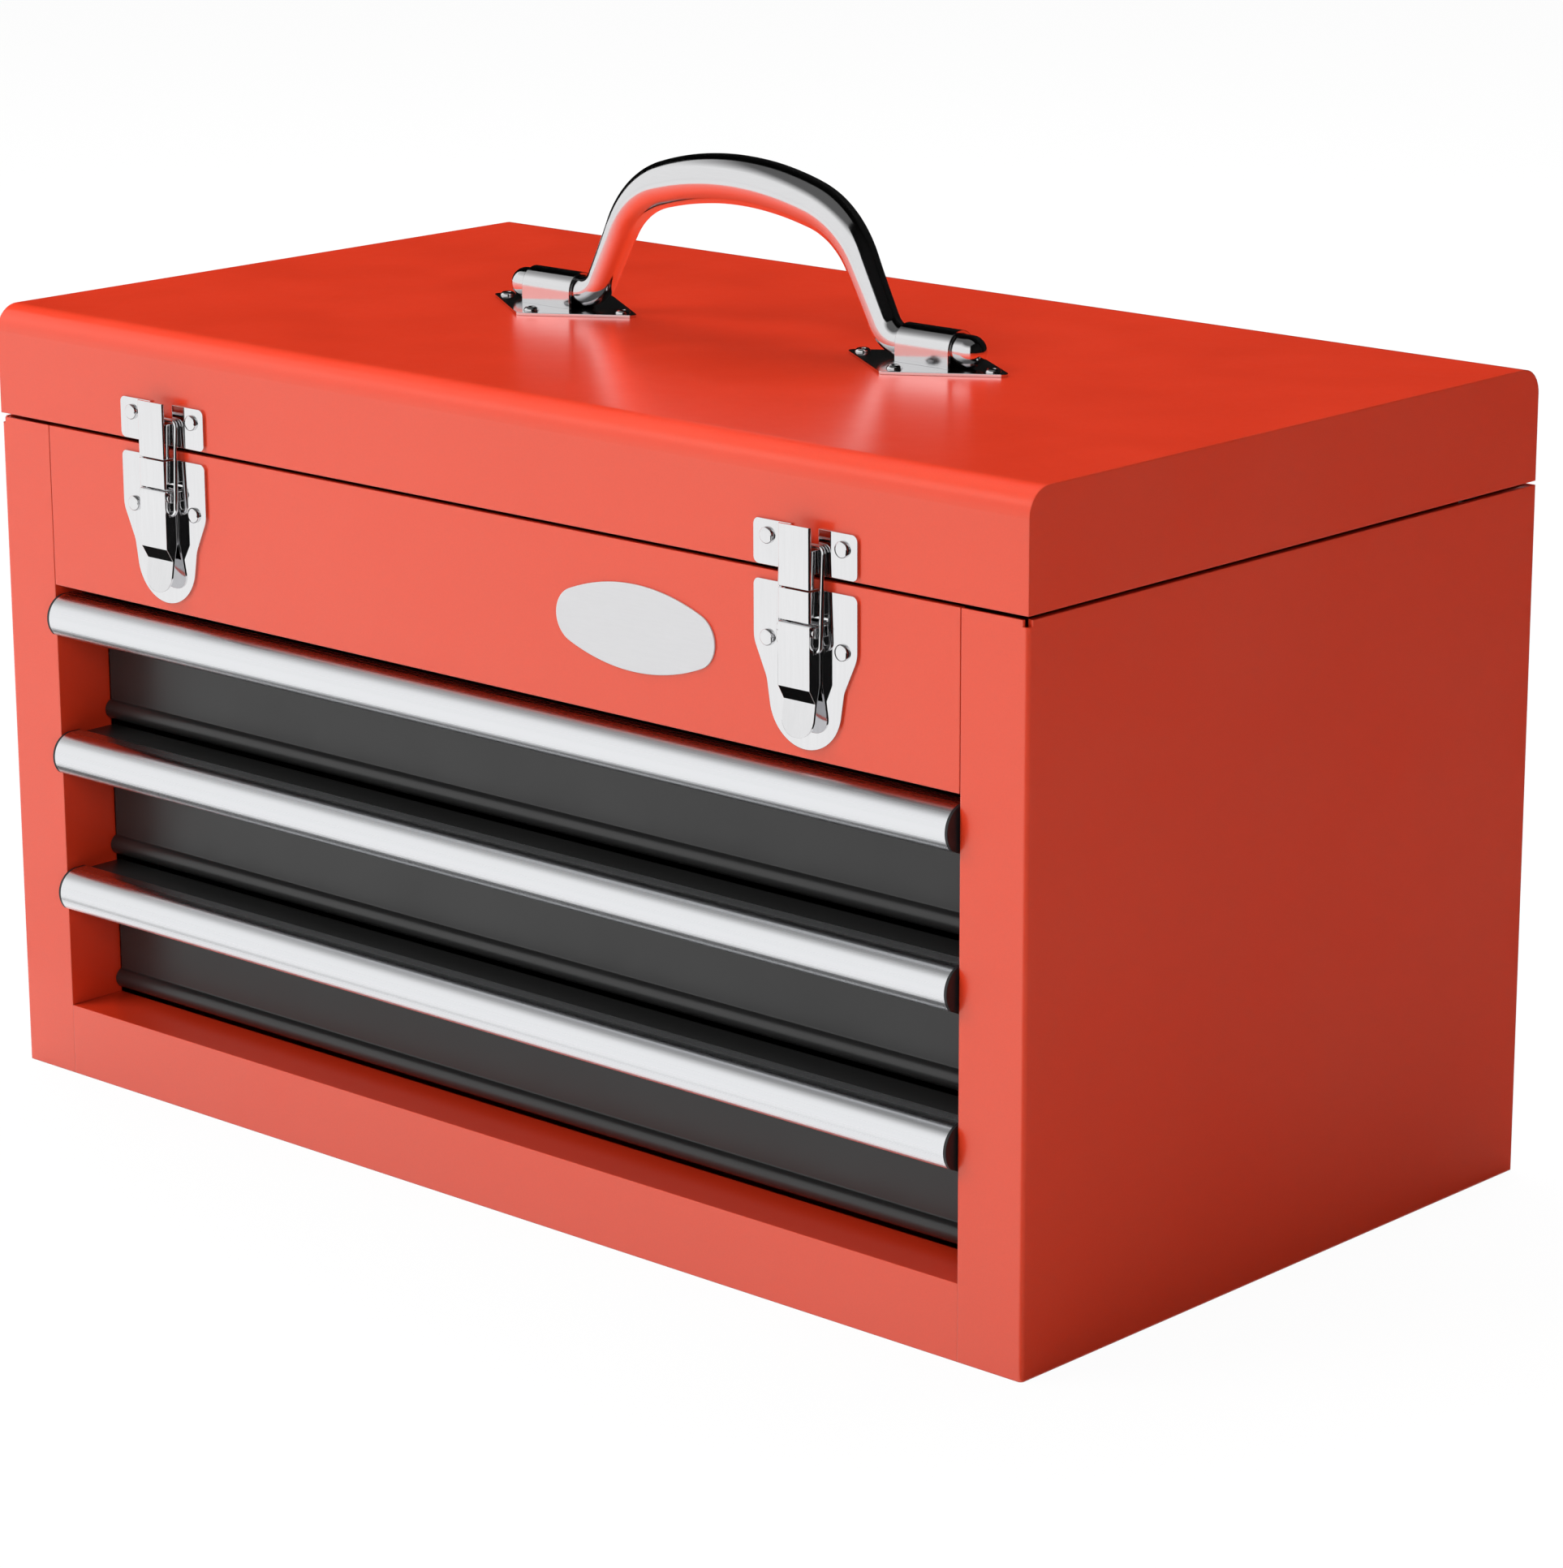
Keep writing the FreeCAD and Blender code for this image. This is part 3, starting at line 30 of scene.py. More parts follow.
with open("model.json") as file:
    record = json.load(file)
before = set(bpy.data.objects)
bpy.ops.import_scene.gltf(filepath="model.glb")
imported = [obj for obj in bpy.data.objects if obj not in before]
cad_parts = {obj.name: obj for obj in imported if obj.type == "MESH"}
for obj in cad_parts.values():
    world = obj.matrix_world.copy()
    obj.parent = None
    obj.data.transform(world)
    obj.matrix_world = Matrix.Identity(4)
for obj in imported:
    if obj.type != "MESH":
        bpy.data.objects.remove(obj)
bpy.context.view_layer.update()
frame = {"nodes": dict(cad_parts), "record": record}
MM = 0.001
LINE_HEIGHT = 0.02 * MM
TIP = 0.02  # radius at the middle of a closed end, in millimetres

# materials


def new_material(name, colour, metallic=0.0, roughness=0.4, specular=0.5, coat=0.0, coat_rough=0.1):
    """New material with its nodes, its links and its shader, with the plain numbers set."""
    made = bpy.data.materials.new(name)
    made.use_nodes = True
    nodes, links = made.node_tree.nodes, made.node_tree.links
    shader = nodes["Principled BSDF"]
    shader.inputs["Base Color"].default_value = (*colour, 1)
    shader.inputs["Metallic"].default_value = metallic
    shader.inputs["Roughness"].default_value = roughness
    shader.inputs["Specular IOR Level"].default_value = specular
    shader.inputs["Coat Weight"].default_value = coat
    shader.inputs["Coat Roughness"].default_value = coat_rough
    return made, nodes, links, shader


def place(nodes, links, stretch=(1, 1, 1)):
    """Surface coordinates, stretched along the axes."""
    where = nodes.new("ShaderNodeTexCoord")
    scaled = nodes.new("ShaderNodeMapping")
    scaled.inputs["Scale"].default_value = stretch
    links.new(where.outputs["Object"], scaled.inputs["Vector"])
    return scaled.outputs["Vector"]


def noise(nodes, links, vector, scale, detail=2.0, rough=0.5):
    made = nodes.new("ShaderNodeTexNoise")
    made.inputs["Scale"].default_value = scale
    made.inputs["Detail"].default_value = detail
    made.inputs["Roughness"].default_value = rough
    links.new(vector, made.inputs["Vector"])
    return made.outputs["Fac"]


def spread(nodes, links, factor, low, high, start=0.3, end=0.7):
    """Number that runs from low to high with the factor."""
    made = nodes.new("ShaderNodeMapRange")
    made.inputs["From Min"].default_value = start
    made.inputs["From Max"].default_value = end
    made.inputs["To Min"].default_value = low
    made.inputs["To Max"].default_value = high
    links.new(factor, made.inputs["Value"])
    return made.outputs["Result"]


def blend_colour(nodes, links, factor, first, second):
    made = nodes.new("ShaderNodeMix")
    made.data_type = "RGBA"
    links.new(factor, made.inputs["Factor"])
    for socket, colour in ((made.inputs["A"], first), (made.inputs["B"], second)):
        if isinstance(colour, tuple):
            socket.default_value = (*colour, 1)
        else:
            links.new(colour, socket)
    return made.outputs["Result"]


def shaded(colour, share):
    return tuple(min(1.0, c * share) for c in colour)


def edge_mask(nodes, links, radius):
    """Normal rounded over the edges, and a mask that is 1 along them."""
    bevel = nodes.new("ShaderNodeBevel")
    bevel.samples = 6
    bevel.inputs["Radius"].default_value = radius
    flat = nodes.new("ShaderNodeNewGeometry")
    dot = nodes.new("ShaderNodeVectorMath")
    dot.operation = "DOT_PRODUCT"
    links.new(bevel.outputs["Normal"], dot.inputs[0])
    links.new(flat.outputs["Normal"], dot.inputs[1])
    mask = spread(nodes, links, dot.outputs["Value"], 1.0, 0.0, start=0.80, end=0.995)
    return bevel.outputs["Normal"], mask


def bump(nodes, links, height, strength, distance, normal=None):
    made = nodes.new("ShaderNodeBump")
    made.inputs["Strength"].default_value = strength
    made.inputs["Distance"].default_value = distance
    links.new(height, made.inputs["Height"])
    if normal is not None:
        links.new(normal, made.inputs["Normal"])
    return made.outputs["Normal"]


def paint(name, colour, edge_highlight_colour, roughness, coat, specular, peel=0.12, gloss_tint=(1, 1, 1)):
    """Powder coat: orange peel, faint clouds, fine speckle and a painted highlight along the edges.
    """
    made, nodes, links, shader = new_material(name, colour, 0.0, roughness, specular, coat,
                                              coat_rough=0.22)
    shader.inputs["Specular Tint"].default_value = (*gloss_tint, 1)
    at = place(nodes, links)
    cloud = noise(nodes, links, at, scale=9.0, detail=3.0)
    speckle = noise(nodes, links, at, scale=2600.0, detail=1.0)
    body = blend_colour(nodes, links, cloud, shaded(colour, 0.965), shaded(colour, 1.035))
    specks = spread(nodes, links, speckle, 0.0, 0.16)
    grain = blend_colour(nodes, links, specks, body, shaded(colour, 1.3))
    soft, mask = edge_mask(nodes, links, 0.7 * MM)
    # painted highlight: a lighter colour mixed in along the edges, where the rounded sheet catches
    # the light
    painted_edge_highlight = spread(nodes, links, mask, 0.0, 0.45, start=0.0, end=1.0)
    links.new(blend_colour(nodes, links, painted_edge_highlight, grain, edge_highlight_colour), shader.inputs["Base Color"])
    smudge = noise(nodes, links, at, scale=24.0, detail=4.0, rough=0.6)
    gloss = spread(nodes, links, smudge, roughness * 0.86, roughness * 1.18)
    links.new(gloss, shader.inputs["Roughness"])
    peel_height = noise(nodes, links, at, scale=650.0)
    links.new(bump(nodes, links, peel_height, peel, 0.05 * MM, soft), shader.inputs["Normal"])
    return made


def metal(name, colour, roughness, stretch, scale, strength, edge_radius=0.25, dull=0.0,
          stains=(0.7, 1.35), blots=60.0, detail=3.0):
    """Plated or drawn metal: fine lines along the stretch, stains in the gloss, rounded edges.

    stains gives the least and the most share of the roughness. Without blots the stains follow
    the lines.
    """
    made, nodes, links, shader = new_material(name, colour, 1.0, roughness)
    at = place(nodes, links, stretch)
    lines = noise(nodes, links, at, scale, detail, rough=0.65)
    stain = noise(nodes, links, place(nodes, links), blots, detail=3.0) if blots else lines
    tone = blend_colour(nodes, links, stain, shaded(colour, 0.955 - dull), shaded(colour, 1.02))
    drawn = spread(nodes, links, lines, 0.0, 0.35)
    lined = blend_colour(nodes, links, drawn, tone, shaded(colour, 0.9 - dull))
    links.new(lined, shader.inputs["Base Color"])
    least, most = stains
    gloss = spread(nodes, links, stain, roughness * least, roughness * most)
    links.new(gloss, shader.inputs["Roughness"])
    if edge_radius > 0:
        soft, _ = edge_mask(nodes, links, edge_radius * MM)
        links.new(bump(nodes, links, lines, strength, LINE_HEIGHT, soft), shader.inputs["Normal"])
    return made


red = (0.575, 0.031, 0.009)
materials = {
    # the third colour of each paint is its painted highlight along the edges
    "red_paint": paint("red_paint", red, (0.72, 0.07, 0.03), roughness=0.34, coat=1.0, specular=0.5,
                       peel=0.12, gloss_tint=(1, 0.95, 0.55)),
    "drawer_paint": paint("drawer_paint", (0.016, 0.016, 0.016), (0.04, 0.04, 0.04), roughness=0.32,
                          coat=0.0, specular=0.58, peel=0.16),
    "pan_paint": paint("pan_paint", (0.016, 0.016, 0.017), (0.05, 0.05, 0.05), roughness=0.45,
                       coat=0.0, specular=0.4, peel=0.2),
    "pull_aluminium": metal("pull_aluminium", (0.83, 0.84, 0.86), 0.27, (0.5, 500, 500), 0.5,
                            strength=0.0, edge_radius=0.0, stains=(0.92, 1.08), blots=None,
                            detail=1.0),
    "latch_chrome": metal("latch_chrome", (0.80, 0.80, 0.81), 0.05, (300, 300, 20), 3.0,
                          strength=0.02, edge_radius=0.2),
    "handle_chrome": metal("handle_chrome", (0.74, 0.74, 0.75), 0.11, (8, 500, 500), 3.0,
                           strength=0.05, edge_radius=0.3),
    "zinc_steel": metal("zinc_steel", (0.62, 0.63, 0.65), 0.32, (90, 90, 90), 4.0,
                        strength=0.25, edge_radius=0.2, dull=0.1),
}

# moulded end caps: fine pitted texture
cap, nodes, links, shader = new_material("cap_plastic", (0.009, 0.009, 0.01), roughness=0.42)
at = place(nodes, links)
pits = noise(nodes, links, at, scale=1800.0)
pitted = blend_colour(nodes, links, pits, (0.007, 0.007, 0.0075), (0.013, 0.013, 0.014))
links.new(pitted, shader.inputs["Base Color"])
links.new(spread(nodes, links, pits, 0.36, 0.5), shader.inputs["Roughness"])
soft, _ = edge_mask(nodes, links, 0.35 * MM)
links.new(bump(nodes, links, pits, 0.3, 0.03 * MM, soft), shader.inputs["Normal"])
materials["cap_plastic"] = cap

# badge: pale satin plate with a polished rim
plate, nodes, links, shader = new_material("badge_face", (0.57, 0.57, 0.58), metallic=0.35,
                                           roughness=0.42)
at = place(nodes, links, stretch=(60, 1, 900))
brushed = noise(nodes, links, at, scale=2.0, detail=3.0)
soft, mask = edge_mask(nodes, links, 0.5 * MM)
face = blend_colour(nodes, links, brushed, (0.55, 0.55, 0.56), (0.60, 0.60, 0.61))
links.new(blend_colour(nodes, links, mask, face, (0.80, 0.80, 0.80)), shader.inputs["Base Color"])
links.new(spread(nodes, links, brushed, 0.36, 0.48), shader.inputs["Roughness"])
links.new(bump(nodes, links, brushed, 0.08, LINE_HEIGHT, soft), shader.inputs["Normal"])
materials["badge_face"] = plate

slots = {entry["slot"]: materials[entry["slot"]] for entry in frame["record"]["materials"]}
for thing in frame["nodes"].values():
    labels = [slot.material.name.split(".")[0] if slot.material else ""
              for slot in thing.material_slots]
    for number, label in enumerate(labels):
        found = [slot for slot in slots if slot in label]
        thing.material_slots[number].material = slots[found[0]] if found else materials["red_paint"]

# pieces


def piece(name, vertices, faces, slot, body, replaced, sharp=35):
    """Mesh in place, with its finish, the body it moves with and the solids it stands for."""
    mesh = bpy.data.meshes.new(name)
    mesh.from_pydata(vertices, [], faces)
    form = bmesh.new()
    form.from_mesh(mesh)
    bmesh.ops.remove_doubles(form, verts=form.verts, dist=1e-7)
    bmesh.ops.recalc_face_normals(form, faces=form.faces)
    form.to_mesh(mesh)
    form.free()
    mesh.shade_smooth()
    mesh.set_sharp_from_angle(angle=math.radians(sharp))
    thing = bpy.data.objects.new(name, mesh)
    bpy.context.scene.collection.objects.link(thing)
    thing.data.materials.append(materials[slot])
    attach(thing, body)
    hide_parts(*replaced)
    return thing


def skin(rings, closed_ends=True):
    """Faces between rings of equal count, capped at both ends unless they close in a loop."""
    count = len(rings[0])
    vertices = [point for ring in rings for point in ring]
    faces = []
    for a in range(len(rings) - 1):
        for b in range(count):
            c = (b + 1) % count
            faces.append((a * count + b, a * count + c, (a + 1) * count + c, (a + 1) * count + b))
    if closed_ends:
        faces.append(tuple(range(count))[::-1])
        faces.append(tuple((len(rings) - 1) * count + b for b in range(count)))
    return vertices, faces


# carrying handle: swollen grip, swept along the arch, with domed feet
HANDLE_UP = 271.3
TUBE, GRIP, GRIP_SIDE = 5.2, 8.1, 7.2
CROWN, CROWN_HALF, RISE = 120.0, 33.0, 44.0
FOOT, SPREAD, FOOT_END = 10.0, 64.7, 103.0
leg = math.radians(62.5)
turn = math.asin(CROWN_HALF / CROWN)
shoulder = (CROWN_HALF, RISE - (CROWN - math.sqrt(CROWN ** 2 - CROWN_HALF ** 2)))
reach = FOOT * math.tan(leg / 2)
knee = (SPREAD - reach * math.cos(leg), reach * math.sin(leg))
slope = math.tan(turn)
run = (SPREAD - shoulder[1] / math.tan(leg) - shoulder[0]) / (1 - slope / math.tan(leg))
meet = (shoulder[0] + run, shoulder[1] - slope * run)
bend = math.hypot(meet[0] - shoulder[0], meet[1] - shoulder[1]) / math.tan((leg - turn) / 2)
centre = (shoulder[0] - bend * math.sin(turn), shoulder[1] - bend * math.cos(turn))
hub = (knee[0] + FOOT * math.sin(leg), knee[1] + FOOT * math.cos(leg))
CROWN_STEPS, BEND_STEPS, LEG_STEPS, FOOT_STEPS = 12, 18, 10, 14
TAIL_STEPS, DOME_STEPS, GRIP_SIDES = 4, 8, 48
path = []
for k in range(CROWN_STEPS + 1):
    angle = turn * k / CROWN_STEPS
    path.append((CROWN * math.sin(angle), RISE - CROWN * (1 - math.cos(angle)), angle))
for k in range(1, BEND_STEPS + 1):
    angle = turn + (leg - turn) * k / BEND_STEPS
    path.append((centre[0] + bend * math.sin(angle), centre[1] + bend * math.cos(angle), angle))
low = path[-1]
for k in range(1, LEG_STEPS):
    share = k / LEG_STEPS
    path.append((low[0] + (knee[0] - low[0]) * share, low[1] + (knee[1] - low[1]) * share, leg))
for k in range(FOOT_STEPS + 1):
    angle = leg * (1 - k / FOOT_STEPS)
    path.append((hub[0] - FOOT * math.sin(angle), hub[1] - FOOT * math.cos(angle), angle))
lengths = [0.0]
for before, after in zip(path, path[1:]):
    lengths.append(lengths[-1] + math.hypot(after[0] - before[0], after[1] - before[1]))
# shares of the swell at lengths along the arch: full at the crown, none from the foot bend on
bent, straight = lengths[CROWN_STEPS + BEND_STEPS], lengths[CROWN_STEPS + BEND_STEPS + LEG_STEPS]
knots = [(0, 1.0), (lengths[6], 0.98), (lengths[12], 0.86), (lengths[18], 0.66),
         (lengths[24], 0.40), (bent, 0.18), ((bent + straight) / 2, 0.05), (straight, 0.0),
         (lengths[-1], 0.0)]


def swell(length):
    """Share of the swell at a length along the arch, straight between the knots."""
    for (a, low_share), (b, high_share) in zip(knots, knots[1:]):
        if length <= b:
            t = 0 if b == a else (length - a) / (b - a)
            return low_share + (high_share - low_share) * t
    return 0.0


def eased(length):
    """The same, rounded over 4 mm to each side."""
    near = [swell(max(0.0, length + offset)) for offset in (-4, -2, 0, 2, 4)]
    return sum(near) / len(near)


half = [(x, z, angle, eased(length)) for (x, z, angle), length in zip(path, lengths)]
for k in range(1, TAIL_STEPS + 1):
    half.append((path[-1][0] + (FOOT_END - TUBE - path[-1][0]) * k / TAIL_STEPS, 0.0, 0.0, 0.0))
stations = [(x, z, angle, TUBE + share * (GRIP - TUBE), TUBE + share * (GRIP_SIDE - TUBE))
            for x, z, angle, share in half]
for k in range(1, DOME_STEPS + 1):
    angle = math.pi / 2 * k / DOME_STEPS
    radius = max(TUBE * math.cos(angle), TIP)
    stations.append((FOOT_END - TUBE + TUBE * math.sin(angle), 0.0, 0.0, radius, radius))
full = [(-x, z, -angle, tall, wide) for x, z, angle, tall, wide in stations[:0:-1]] + stations
rings = []
for x, z, angle, tall, wide in full:
    ring = []
    for k in range(GRIP_SIDES):
        around = 2 * math.pi * k / GRIP_SIDES
        up, out = tall * math.cos(around), wide * math.sin(around)
        across, height = x + up * math.sin(angle), HANDLE_UP + z + up * math.cos(angle)
        ring.append((across * MM, out * MM, height * MM))
    rings.append(ring)
piece("handle_grip", *skin(rings), "handle_chrome", "handle", ["carry_handle"])

# drawer pulls: extruded half-round bars with fine grooves
FRONT = -124.0
PULL_RADIUS, PULL_HALF = 7.7, 198.6
pull_y, pull_end, wall = FRONT + 3.0, FRONT + 7.0, 1.2
# angles in degrees about the bar's axis: the round front's start, end and plain step, the middles
# of its grooves, and half a groove's width at its mouth and its bed
ROUND_START, ROUND_END, ROUND_STEP = 90, 225, 3
grooves_up = [117, 122, 127, 132]
grooves_down = [168, 176, 183, 190, 197, 204, 211, 218]
MOUTH, BED = 1.9, 0.6
DEPTH_UP, DEPTH_DOWN = 0.004, 0.006
INNER_STEPS = 12
LIP_DROP, LIP_FRONT, LIP_REAR = 0.97, 0.12, 0.2  # shares of the bar's radius


def on_arc(axis, radius, degrees):
    angle = math.radians(degrees)
    return pull_y + radius * math.cos(angle), axis + radius * math.sin(angle)


def pull_outline(top):
    """Points of the bar's section, front side first, with its grooves."""
    axis = top - PULL_RADIUS
    points = [(pull_end, top), (pull_y, top)]
    sinks = {float(angle): 0.0 for angle in range(ROUND_START + ROUND_STEP, ROUND_END, ROUND_STEP)}
    for middle in grooves_up + grooves_down:
        depth = DEPTH_UP if middle in grooves_up else DEPTH_DOWN
        for angle in list(sinks):
            if abs(angle - middle) < ROUND_STEP:
                del sinks[angle]
        for offset, sink in ((-MOUTH, 0.0), (-BED, depth), (BED, depth), (MOUTH, 0.0)):
            sinks[middle + offset] = sink
    for angle in sorted(sinks):
        points.append(on_arc(axis, PULL_RADIUS - sinks[angle], angle))
    points.append(on_arc(axis, PULL_RADIUS, ROUND_END))
    # the lip under the bar, then the inside of its wall
    lip_z = axis - LIP_DROP * PULL_RADIUS
    lip_front, lip_rear = pull_y - LIP_FRONT * PULL_RADIUS, pull_y + LIP_REAR * PULL_RADIUS
    points += [(lip_front, lip_z), (lip_rear, lip_z)]
    points += [(lip_rear, lip_z + wall), (lip_front, lip_z + wall)]
    for k in range(INNER_STEPS + 1):
        angle = ROUND_END - (ROUND_END - ROUND_START) * k / INNER_STEPS
        points.append(on_arc(axis, PULL_RADIUS - wall, angle))
    points.append((pull_end, top - wall))
    return points


DRAWER_BOTTOMS, DRAWER_HEIGHT = (122.5, 74.4, 26.3), 47.1
for number, bottom in enumerate(DRAWER_BOTTOMS, start=1):
    outline = pull_outline(bottom + DRAWER_HEIGHT)
    rings = [[(x * MM, y * MM, z * MM) for y, z in outline] for x in (-PULL_HALF, PULL_HALF)]
    piece(f"pull_bar_{number}", *skin(rings), "pull_aluminium", f"drawer_{number}",
          [f"drawer_pull_{number}"], sharp=12)

# bails: wire loops with bent corners, leaned on their hooks
LATCH_X = 141.5
BAR_OUT, HOOK_OUT = 3.2, 1.85
BAR = (FRONT - BAR_OUT, 206.8)
BAIL_HALF, BAIL_LENGTH, WIRE, CORNER = 8.2, 30.9, 0.75, 2.0
WIRE_SIDES, CORNER_STEPS = 16, 6
lean = math.asin((BAR_OUT - HOOK_OUT) / BAIL_LENGTH)
line = []
for a, b, start in ((-1, 0, math.pi), (1, 0, -math.pi / 2), (1, 1, 0.0), (-1, 1, math.pi / 2)):
    cx = a * (BAIL_HALF - CORNER)
    cz = CORNER if b == 0 else BAIL_LENGTH - CORNER
    for k in range(CORNER_STEPS + 1):
        angle = start + math.pi / 2 * k / CORNER_STEPS
        line.append((cx + CORNER * math.cos(angle), cz + CORNER * math.sin(angle)))
for word, side in (("left", -1), ("right", 1)):
    rings = []
    count = len(line)
    for k, (x, up) in enumerate(line):
        before, after = line[k - 1], line[(k + 1) % count]
        along = Vector((after[0] - before[0], 0, after[1] - before[1])).normalized()
        across = Vector((0, 1, 0)).cross(along)
        ring = []
        for n in range(WIRE_SIDES):
            around = 2 * math.pi * n / WIRE_SIDES
            off = across * (WIRE * math.cos(around)) + Vector((0, WIRE * math.sin(around), 0))
            spot = Matrix.Rotation(-lean, 3, "X") @ (Vector((x, 0, up)) + off)
            ring.append(((side * LATCH_X + spot.x) * MM, (BAR[0] + spot.y) * MM,
                         (BAR[1] + spot.z) * MM))
        rings.append(ring)
    piece(f"bail_wire_{word}", *skin(rings + [rings[0]], closed_ends=False), "latch_chrome",
          f"bail_{word}", [f"bail_{word}"], sharp=60)


# rivets: turned heads, with tails inside the sheet
RIVET_SIDES = 28


def turned(profile, spots, outward):
    """Rings of a turned profile (radius, height) at each spot, height along the outward axis."""
    vertices, faces = [], []
    for spot in spots:
        rings = []
        for radius, height in profile:
            ring = []
            for k in range(RIVET_SIDES):
                around = 2 * math.pi * k / RIVET_SIDES
                a, b = radius * math.cos(around), radius * math.sin(around)
                offset = (a, -height, b) if outward == "front" else (a, b, height)
                ring.append(tuple((s + o) * MM for s, o in zip(spot, offset)))
            rings.append(ring)
        more, sides = skin(rings)
        base = len(vertices)
        vertices += more
        faces += [tuple(base + v for v in side) for side in sides]
    return vertices, faces


# radius and height along the profile, from the head's middle to the tail's
flat_head = [(TIP, 1.2), (1.5, 1.2), (2.1, 1.14), (2.42, 0.95), (2.57, 0.65), (2.6, 0.4),
             (2.6, 0.0), (1.3, 0.0), (1.3, -1.8), (2.0, -1.8), (2.0, -2.4), (1.6, -2.7),
             (TIP, -2.7)]
ring_head = [(TIP, 0.45), (0.8, 0.45), (1.0, 0.7), (1.15, 1.05), (1.45, 1.2), (1.9, 1.1),
             (2.35, 0.7), (2.6, 0.2), (2.6, 0.0), (1.3, 0.0), (1.3, -2.0), (2.0, -2.0),
             (2.0, -2.5), (1.6, -2.9), (TIP, -2.9)]
PLATE_OUT, RIVET_SPREAD, PLATE_RIVET_Z, KEEPER_RIVET_Z = FRONT - 0.8, 14.7, 207.4, 237.9
BRACKET_X, BRACKET_LONG, BRACKET_DEEP, BRACKET_TOP = 80, 27, 15.6, 266.0


def latch_spots(height):
    return [(side * LATCH_X + hand * RIVET_SPREAD, PLATE_OUT, height)
            for side in (-1, 1) for hand in (-1, 1)]


bracket_spots = [(side * BRACKET_X + a * BRACKET_LONG, b * BRACKET_DEEP, BRACKET_TOP)
                 for side in (-1, 1) for a, b in ((-1, 0), (1, 0), (0, -1), (0, 1))]
piece("plate_rivet_heads", *turned(flat_head, latch_spots(PLATE_RIVET_Z), "front"),
      "latch_chrome", "cabinet", ["latch_rivets"])
piece("keeper_rivet_heads", *turned(flat_head, latch_spots(KEEPER_RIVET_Z), "front"),
      "latch_chrome", "lid", ["keeper_rivets"])
piece("bracket_rivet_heads", *turned(ring_head, bracket_spots, "up"), "handle_chrome",
      "lid", ["bracket_rivets"])

# studio


def sheet(name, corners, material):
    mesh = bpy.data.meshes.new(name)
    mesh.from_pydata(corners, [], [(0, 1, 2, 3)])
    thing = bpy.data.objects.new(name, mesh)
    bpy.context.scene.collection.objects.link(thing)
    thing.data.materials.append(material)
    return thing


def lying(x0, y0, x1, y1, z):
    """Corners of a level sheet."""
    return [(x0, y0, z), (x1, y0, z), (x1, y1, z), (x0, y1, z)]


def standing(start, end, low, high):
    """Corners of an upright sheet."""
    return [(*start, low), (*end, low), (*end, high), (*start, high)]


def figured(nodes, links, operation, first, second):
    """Result of a sum on two numbers, each from a socket or written."""
    made = nodes.new("ShaderNodeMath")
    made.operation = operation
    for socket, value in zip(made.inputs, (first, second)):
        if isinstance(value, float):
            socket.default_value = value
        else:
            links.new(value, socket)
    return made.outputs[0]


def seen_directly(nodes, links, glossy_share=None):
    """1 for rays from the camera and through glass, and 1 or a share of it for rays off gloss."""
    rays = nodes.new("ShaderNodeLightPath").outputs
    glossy = rays["Is Glossy Ray"]
    if glossy_share is not None:
        glossy = figured(nodes, links, "MULTIPLY", glossy, glossy_share)
    seen = figured(nodes, links, "MAXIMUM", rays["Is Camera Ray"], glossy)
    return figured(nodes, links, "MAXIMUM", seen, rays["Is Transmission Ray"])


def blend_shader(nodes, links, factor, first, second):
    """Mix of two shaders, led to the material's surface."""
    both = nodes.new("ShaderNodeMixShader")
    links.new(factor, both.inputs["Fac"])
    links.new(first, both.inputs[1])
    links.new(second, both.inputs[2])
    links.new(both.outputs["Shader"], nodes["Material Output"].inputs["Surface"])


floor_paint, nodes, links, shader = new_material("floor_paint", (0.8, 0.8, 0.8), roughness=0.9,
                                                 specular=0.0)
white = nodes.new("ShaderNodeEmission")
white.inputs["Color"].default_value = (1, 1, 1, 1)
white.inputs["Strength"].default_value = 1.0
SEEN_WHITE = 0.96  # the rest is the floor's own paint, which keeps the shadow
share = figured(nodes, links, "MULTIPLY", seen_directly(nodes, links), SEEN_WHITE)
blend_shader(nodes, links, share, shader.outputs["BSDF"], white.outputs["Emission"])
sheet("floor", lying(-14, -14, 14, 14, 0), floor_paint)

world = bpy.data.worlds.new("studio")
world.use_nodes = True
bpy.context.scene.world = world
nodes, links = world.node_tree.nodes, world.node_tree.links
background = nodes["Background"]
background.inputs["Color"].default_value = (1, 1, 1, 1)
# white to the eye and low down in reflections, darker above, faint for the light it gives
heading = nodes.new("ShaderNodeTexCoord")
axes = nodes.new("ShaderNodeSeparateXYZ")
links.new(heading.outputs["Generated"], axes.inputs["Vector"])
CEILING_FROM, CEILING_TO, CEILING_WHITE, SKY_LIGHT = 0.52, 0.78, 0.03, 0.10
ceiling = spread(nodes, links, axes.outputs["Z"], 1.0, CEILING_WHITE, CEILING_FROM, CEILING_TO)
white_part = seen_directly(nodes, links, ceiling)
strength = spread(nodes, links, white_part, SKY_LIGHT, 1.0, start=0.0, end=1.0)
links.new(strength, background.inputs["Strength"])

# dark cards: seen only in reflections, they give the metal and the gloss their dark parts
dark = new_material("dark_card", (0.005, 0.005, 0.005), roughness=1.0, specular=0.0)[0]
# the same, but clear to what is close to it
dark_from_afar = dark.copy()
dark_from_afar.name = "dark_card_far"
nodes, links = dark_from_afar.node_tree.nodes, dark_from_afar.node_tree.links
rays = nodes.new("ShaderNodeLightPath")
clear = nodes.new("ShaderNodeBsdfTransparent")
NEAR, AFAR = 0.11, 0.13
far = spread(nodes, links, rays.outputs["Ray Length"], 0.0, 1.0, NEAR, AFAR)
blend_shader(nodes, links, far, clear.outputs["BSDF"], nodes["Principled BSDF"].outputs["BSDF"])

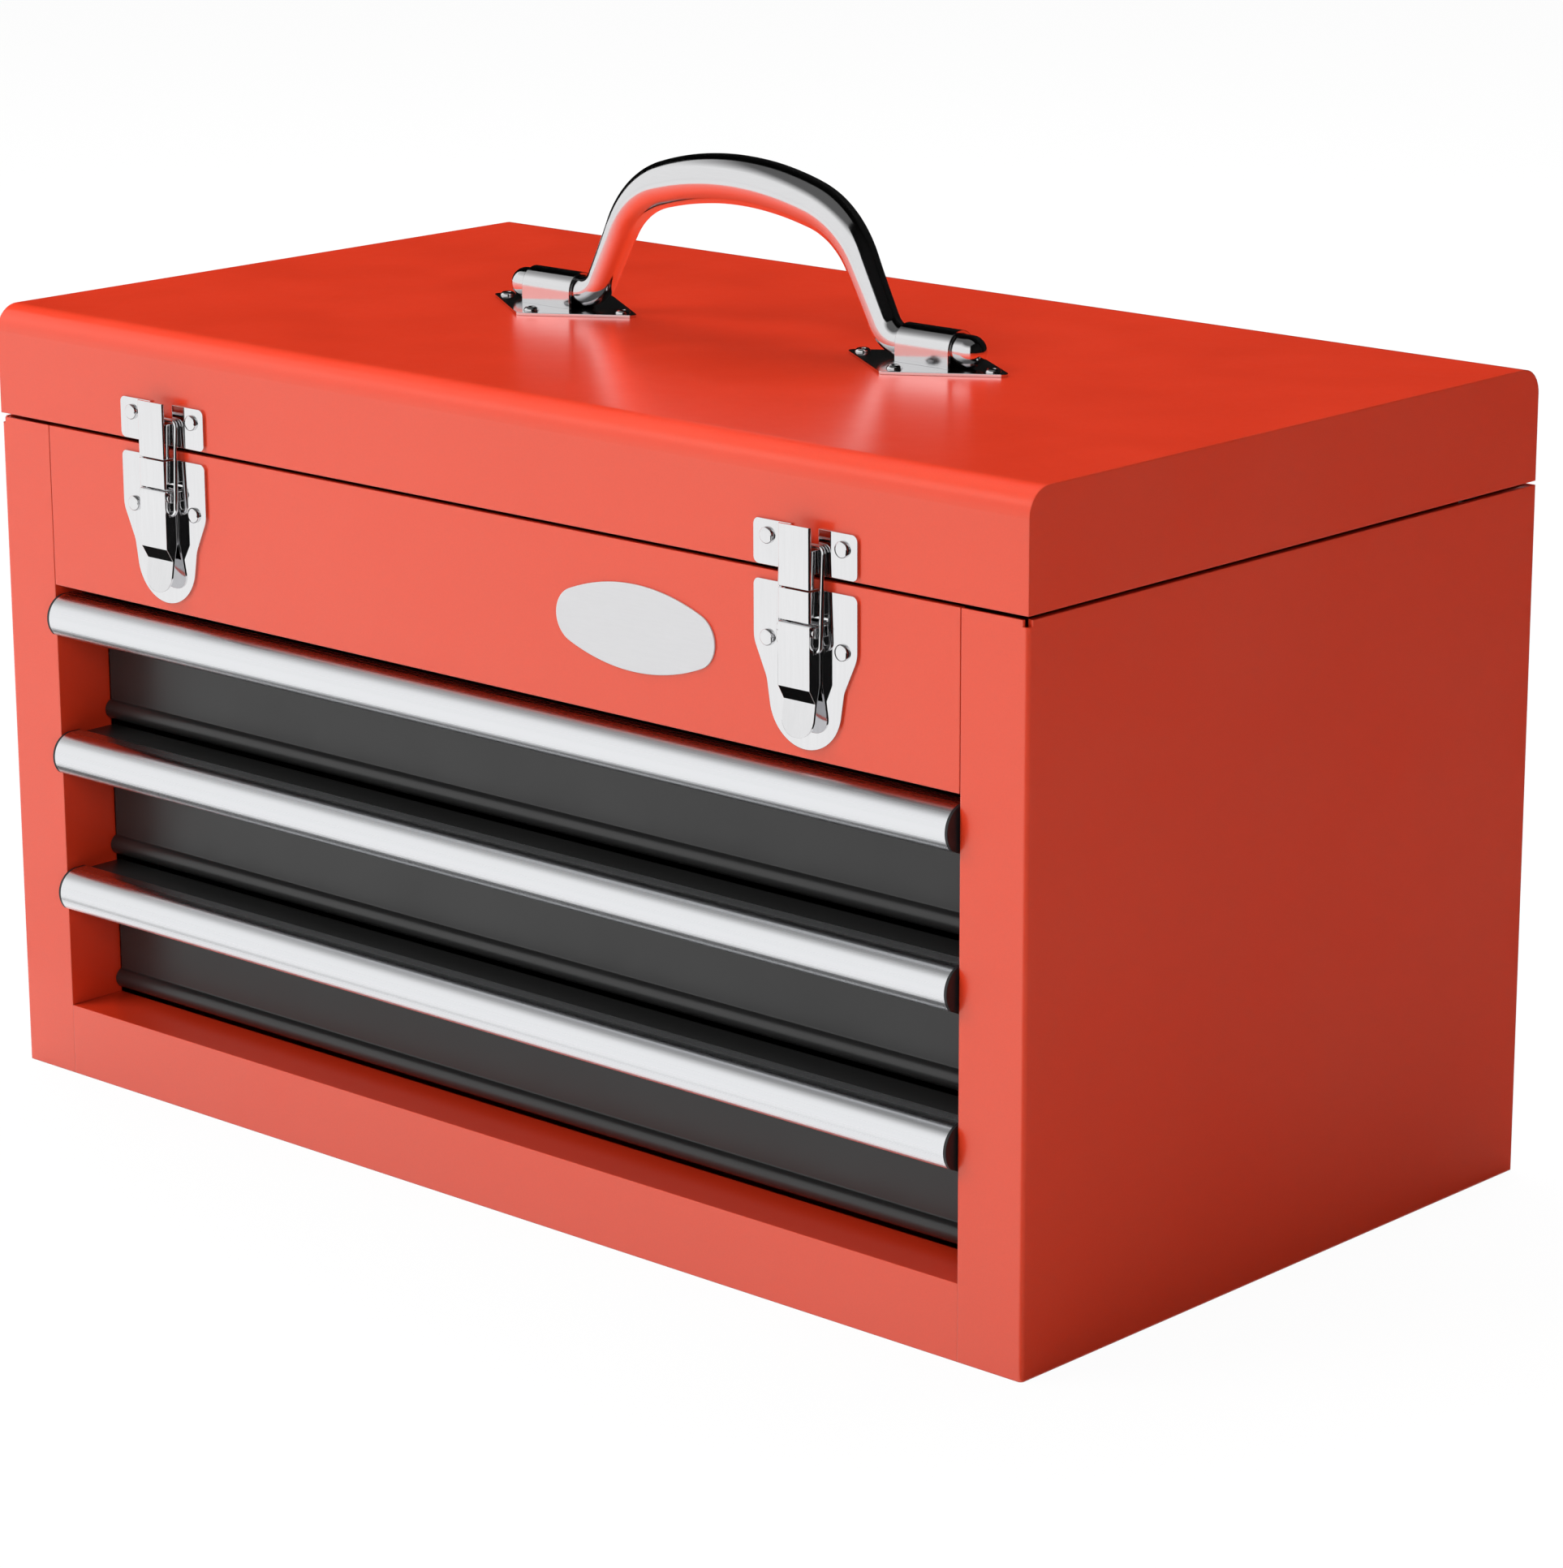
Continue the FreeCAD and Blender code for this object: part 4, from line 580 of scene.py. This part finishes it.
cards = [
    sheet("card_right", lying(0.2251, -3, 5, 5, 0.0002), dark),
    sheet("card_front", lying(-0.7, -0.19, 0.5, -0.128, 0.0006), dark_from_afar),
    sheet("card_rear", standing((-40, 1.6), (40, 1.6), 0.02, 20), dark),
    sheet("card_side", standing((2.2, -3), (2.2, 3), 0.01, 4), dark),
]
for card in cards:
    card.visible_camera = False
    card.visible_diffuse = False
    card.visible_transmission = False
    card.visible_volume_scatter = False
    card.visible_shadow = False


def lamp(name, spot, target, size, energy):
    data = bpy.data.lights.new(name, "AREA")
    data.shape = "RECTANGLE"
    data.size, data.size_y = size
    data.energy = energy
    thing = bpy.data.objects.new(name, data)
    bpy.context.scene.collection.objects.link(thing)
    thing.location = spot
    thing.rotation_euler = (Vector(target) - Vector(spot)).to_track_quat("-Z", "Y").to_euler()
    thing.visible_glossy = False
    thing.visible_camera = False
    return thing


lamp("key", (-1.4, -1.9, 2.3), target=(0, 0, 0.15), size=(1.8, 1.4), energy=78)
lamp("back", (-0.7, 0.8, 2.2), target=(0, 0, 0.2), size=(2.8, 2.2), energy=116)
lamp("right", (1.9, -2.1, 1.2), target=(0, 0, 0.12), size=(1.6, 1.4), energy=35)

# camera
CAMERA_AT = (1.1011, -1.1798, 0.5535)
azimuth, elevation, roll = math.radians(42.57), math.radians(15.22), math.radians(-0.21)
level = math.cos(elevation)
back = Vector((math.sin(azimuth) * level, -math.cos(azimuth) * level, math.sin(elevation)))
right = Vector((0, 0, 1)).cross(back).normalized()
up = back.cross(right)
tilted_right = math.cos(roll) * right + math.sin(roll) * up
tilted_up = back.cross(tilted_right)
lens = bpy.data.cameras.new("camera")
lens.sensor_width = 36
lens.lens = 115.946
lens.clip_end = 60
camera = bpy.data.objects.new("camera", lens)
bpy.context.scene.collection.objects.link(camera)
stance = Matrix((tilted_right, tilted_up, back)).transposed().to_4x4()
stance.translation = Vector(CAMERA_AT)
camera.matrix_world = stance
bpy.context.scene.camera = camera
bpy.context.scene.view_settings.view_transform = "Standard"
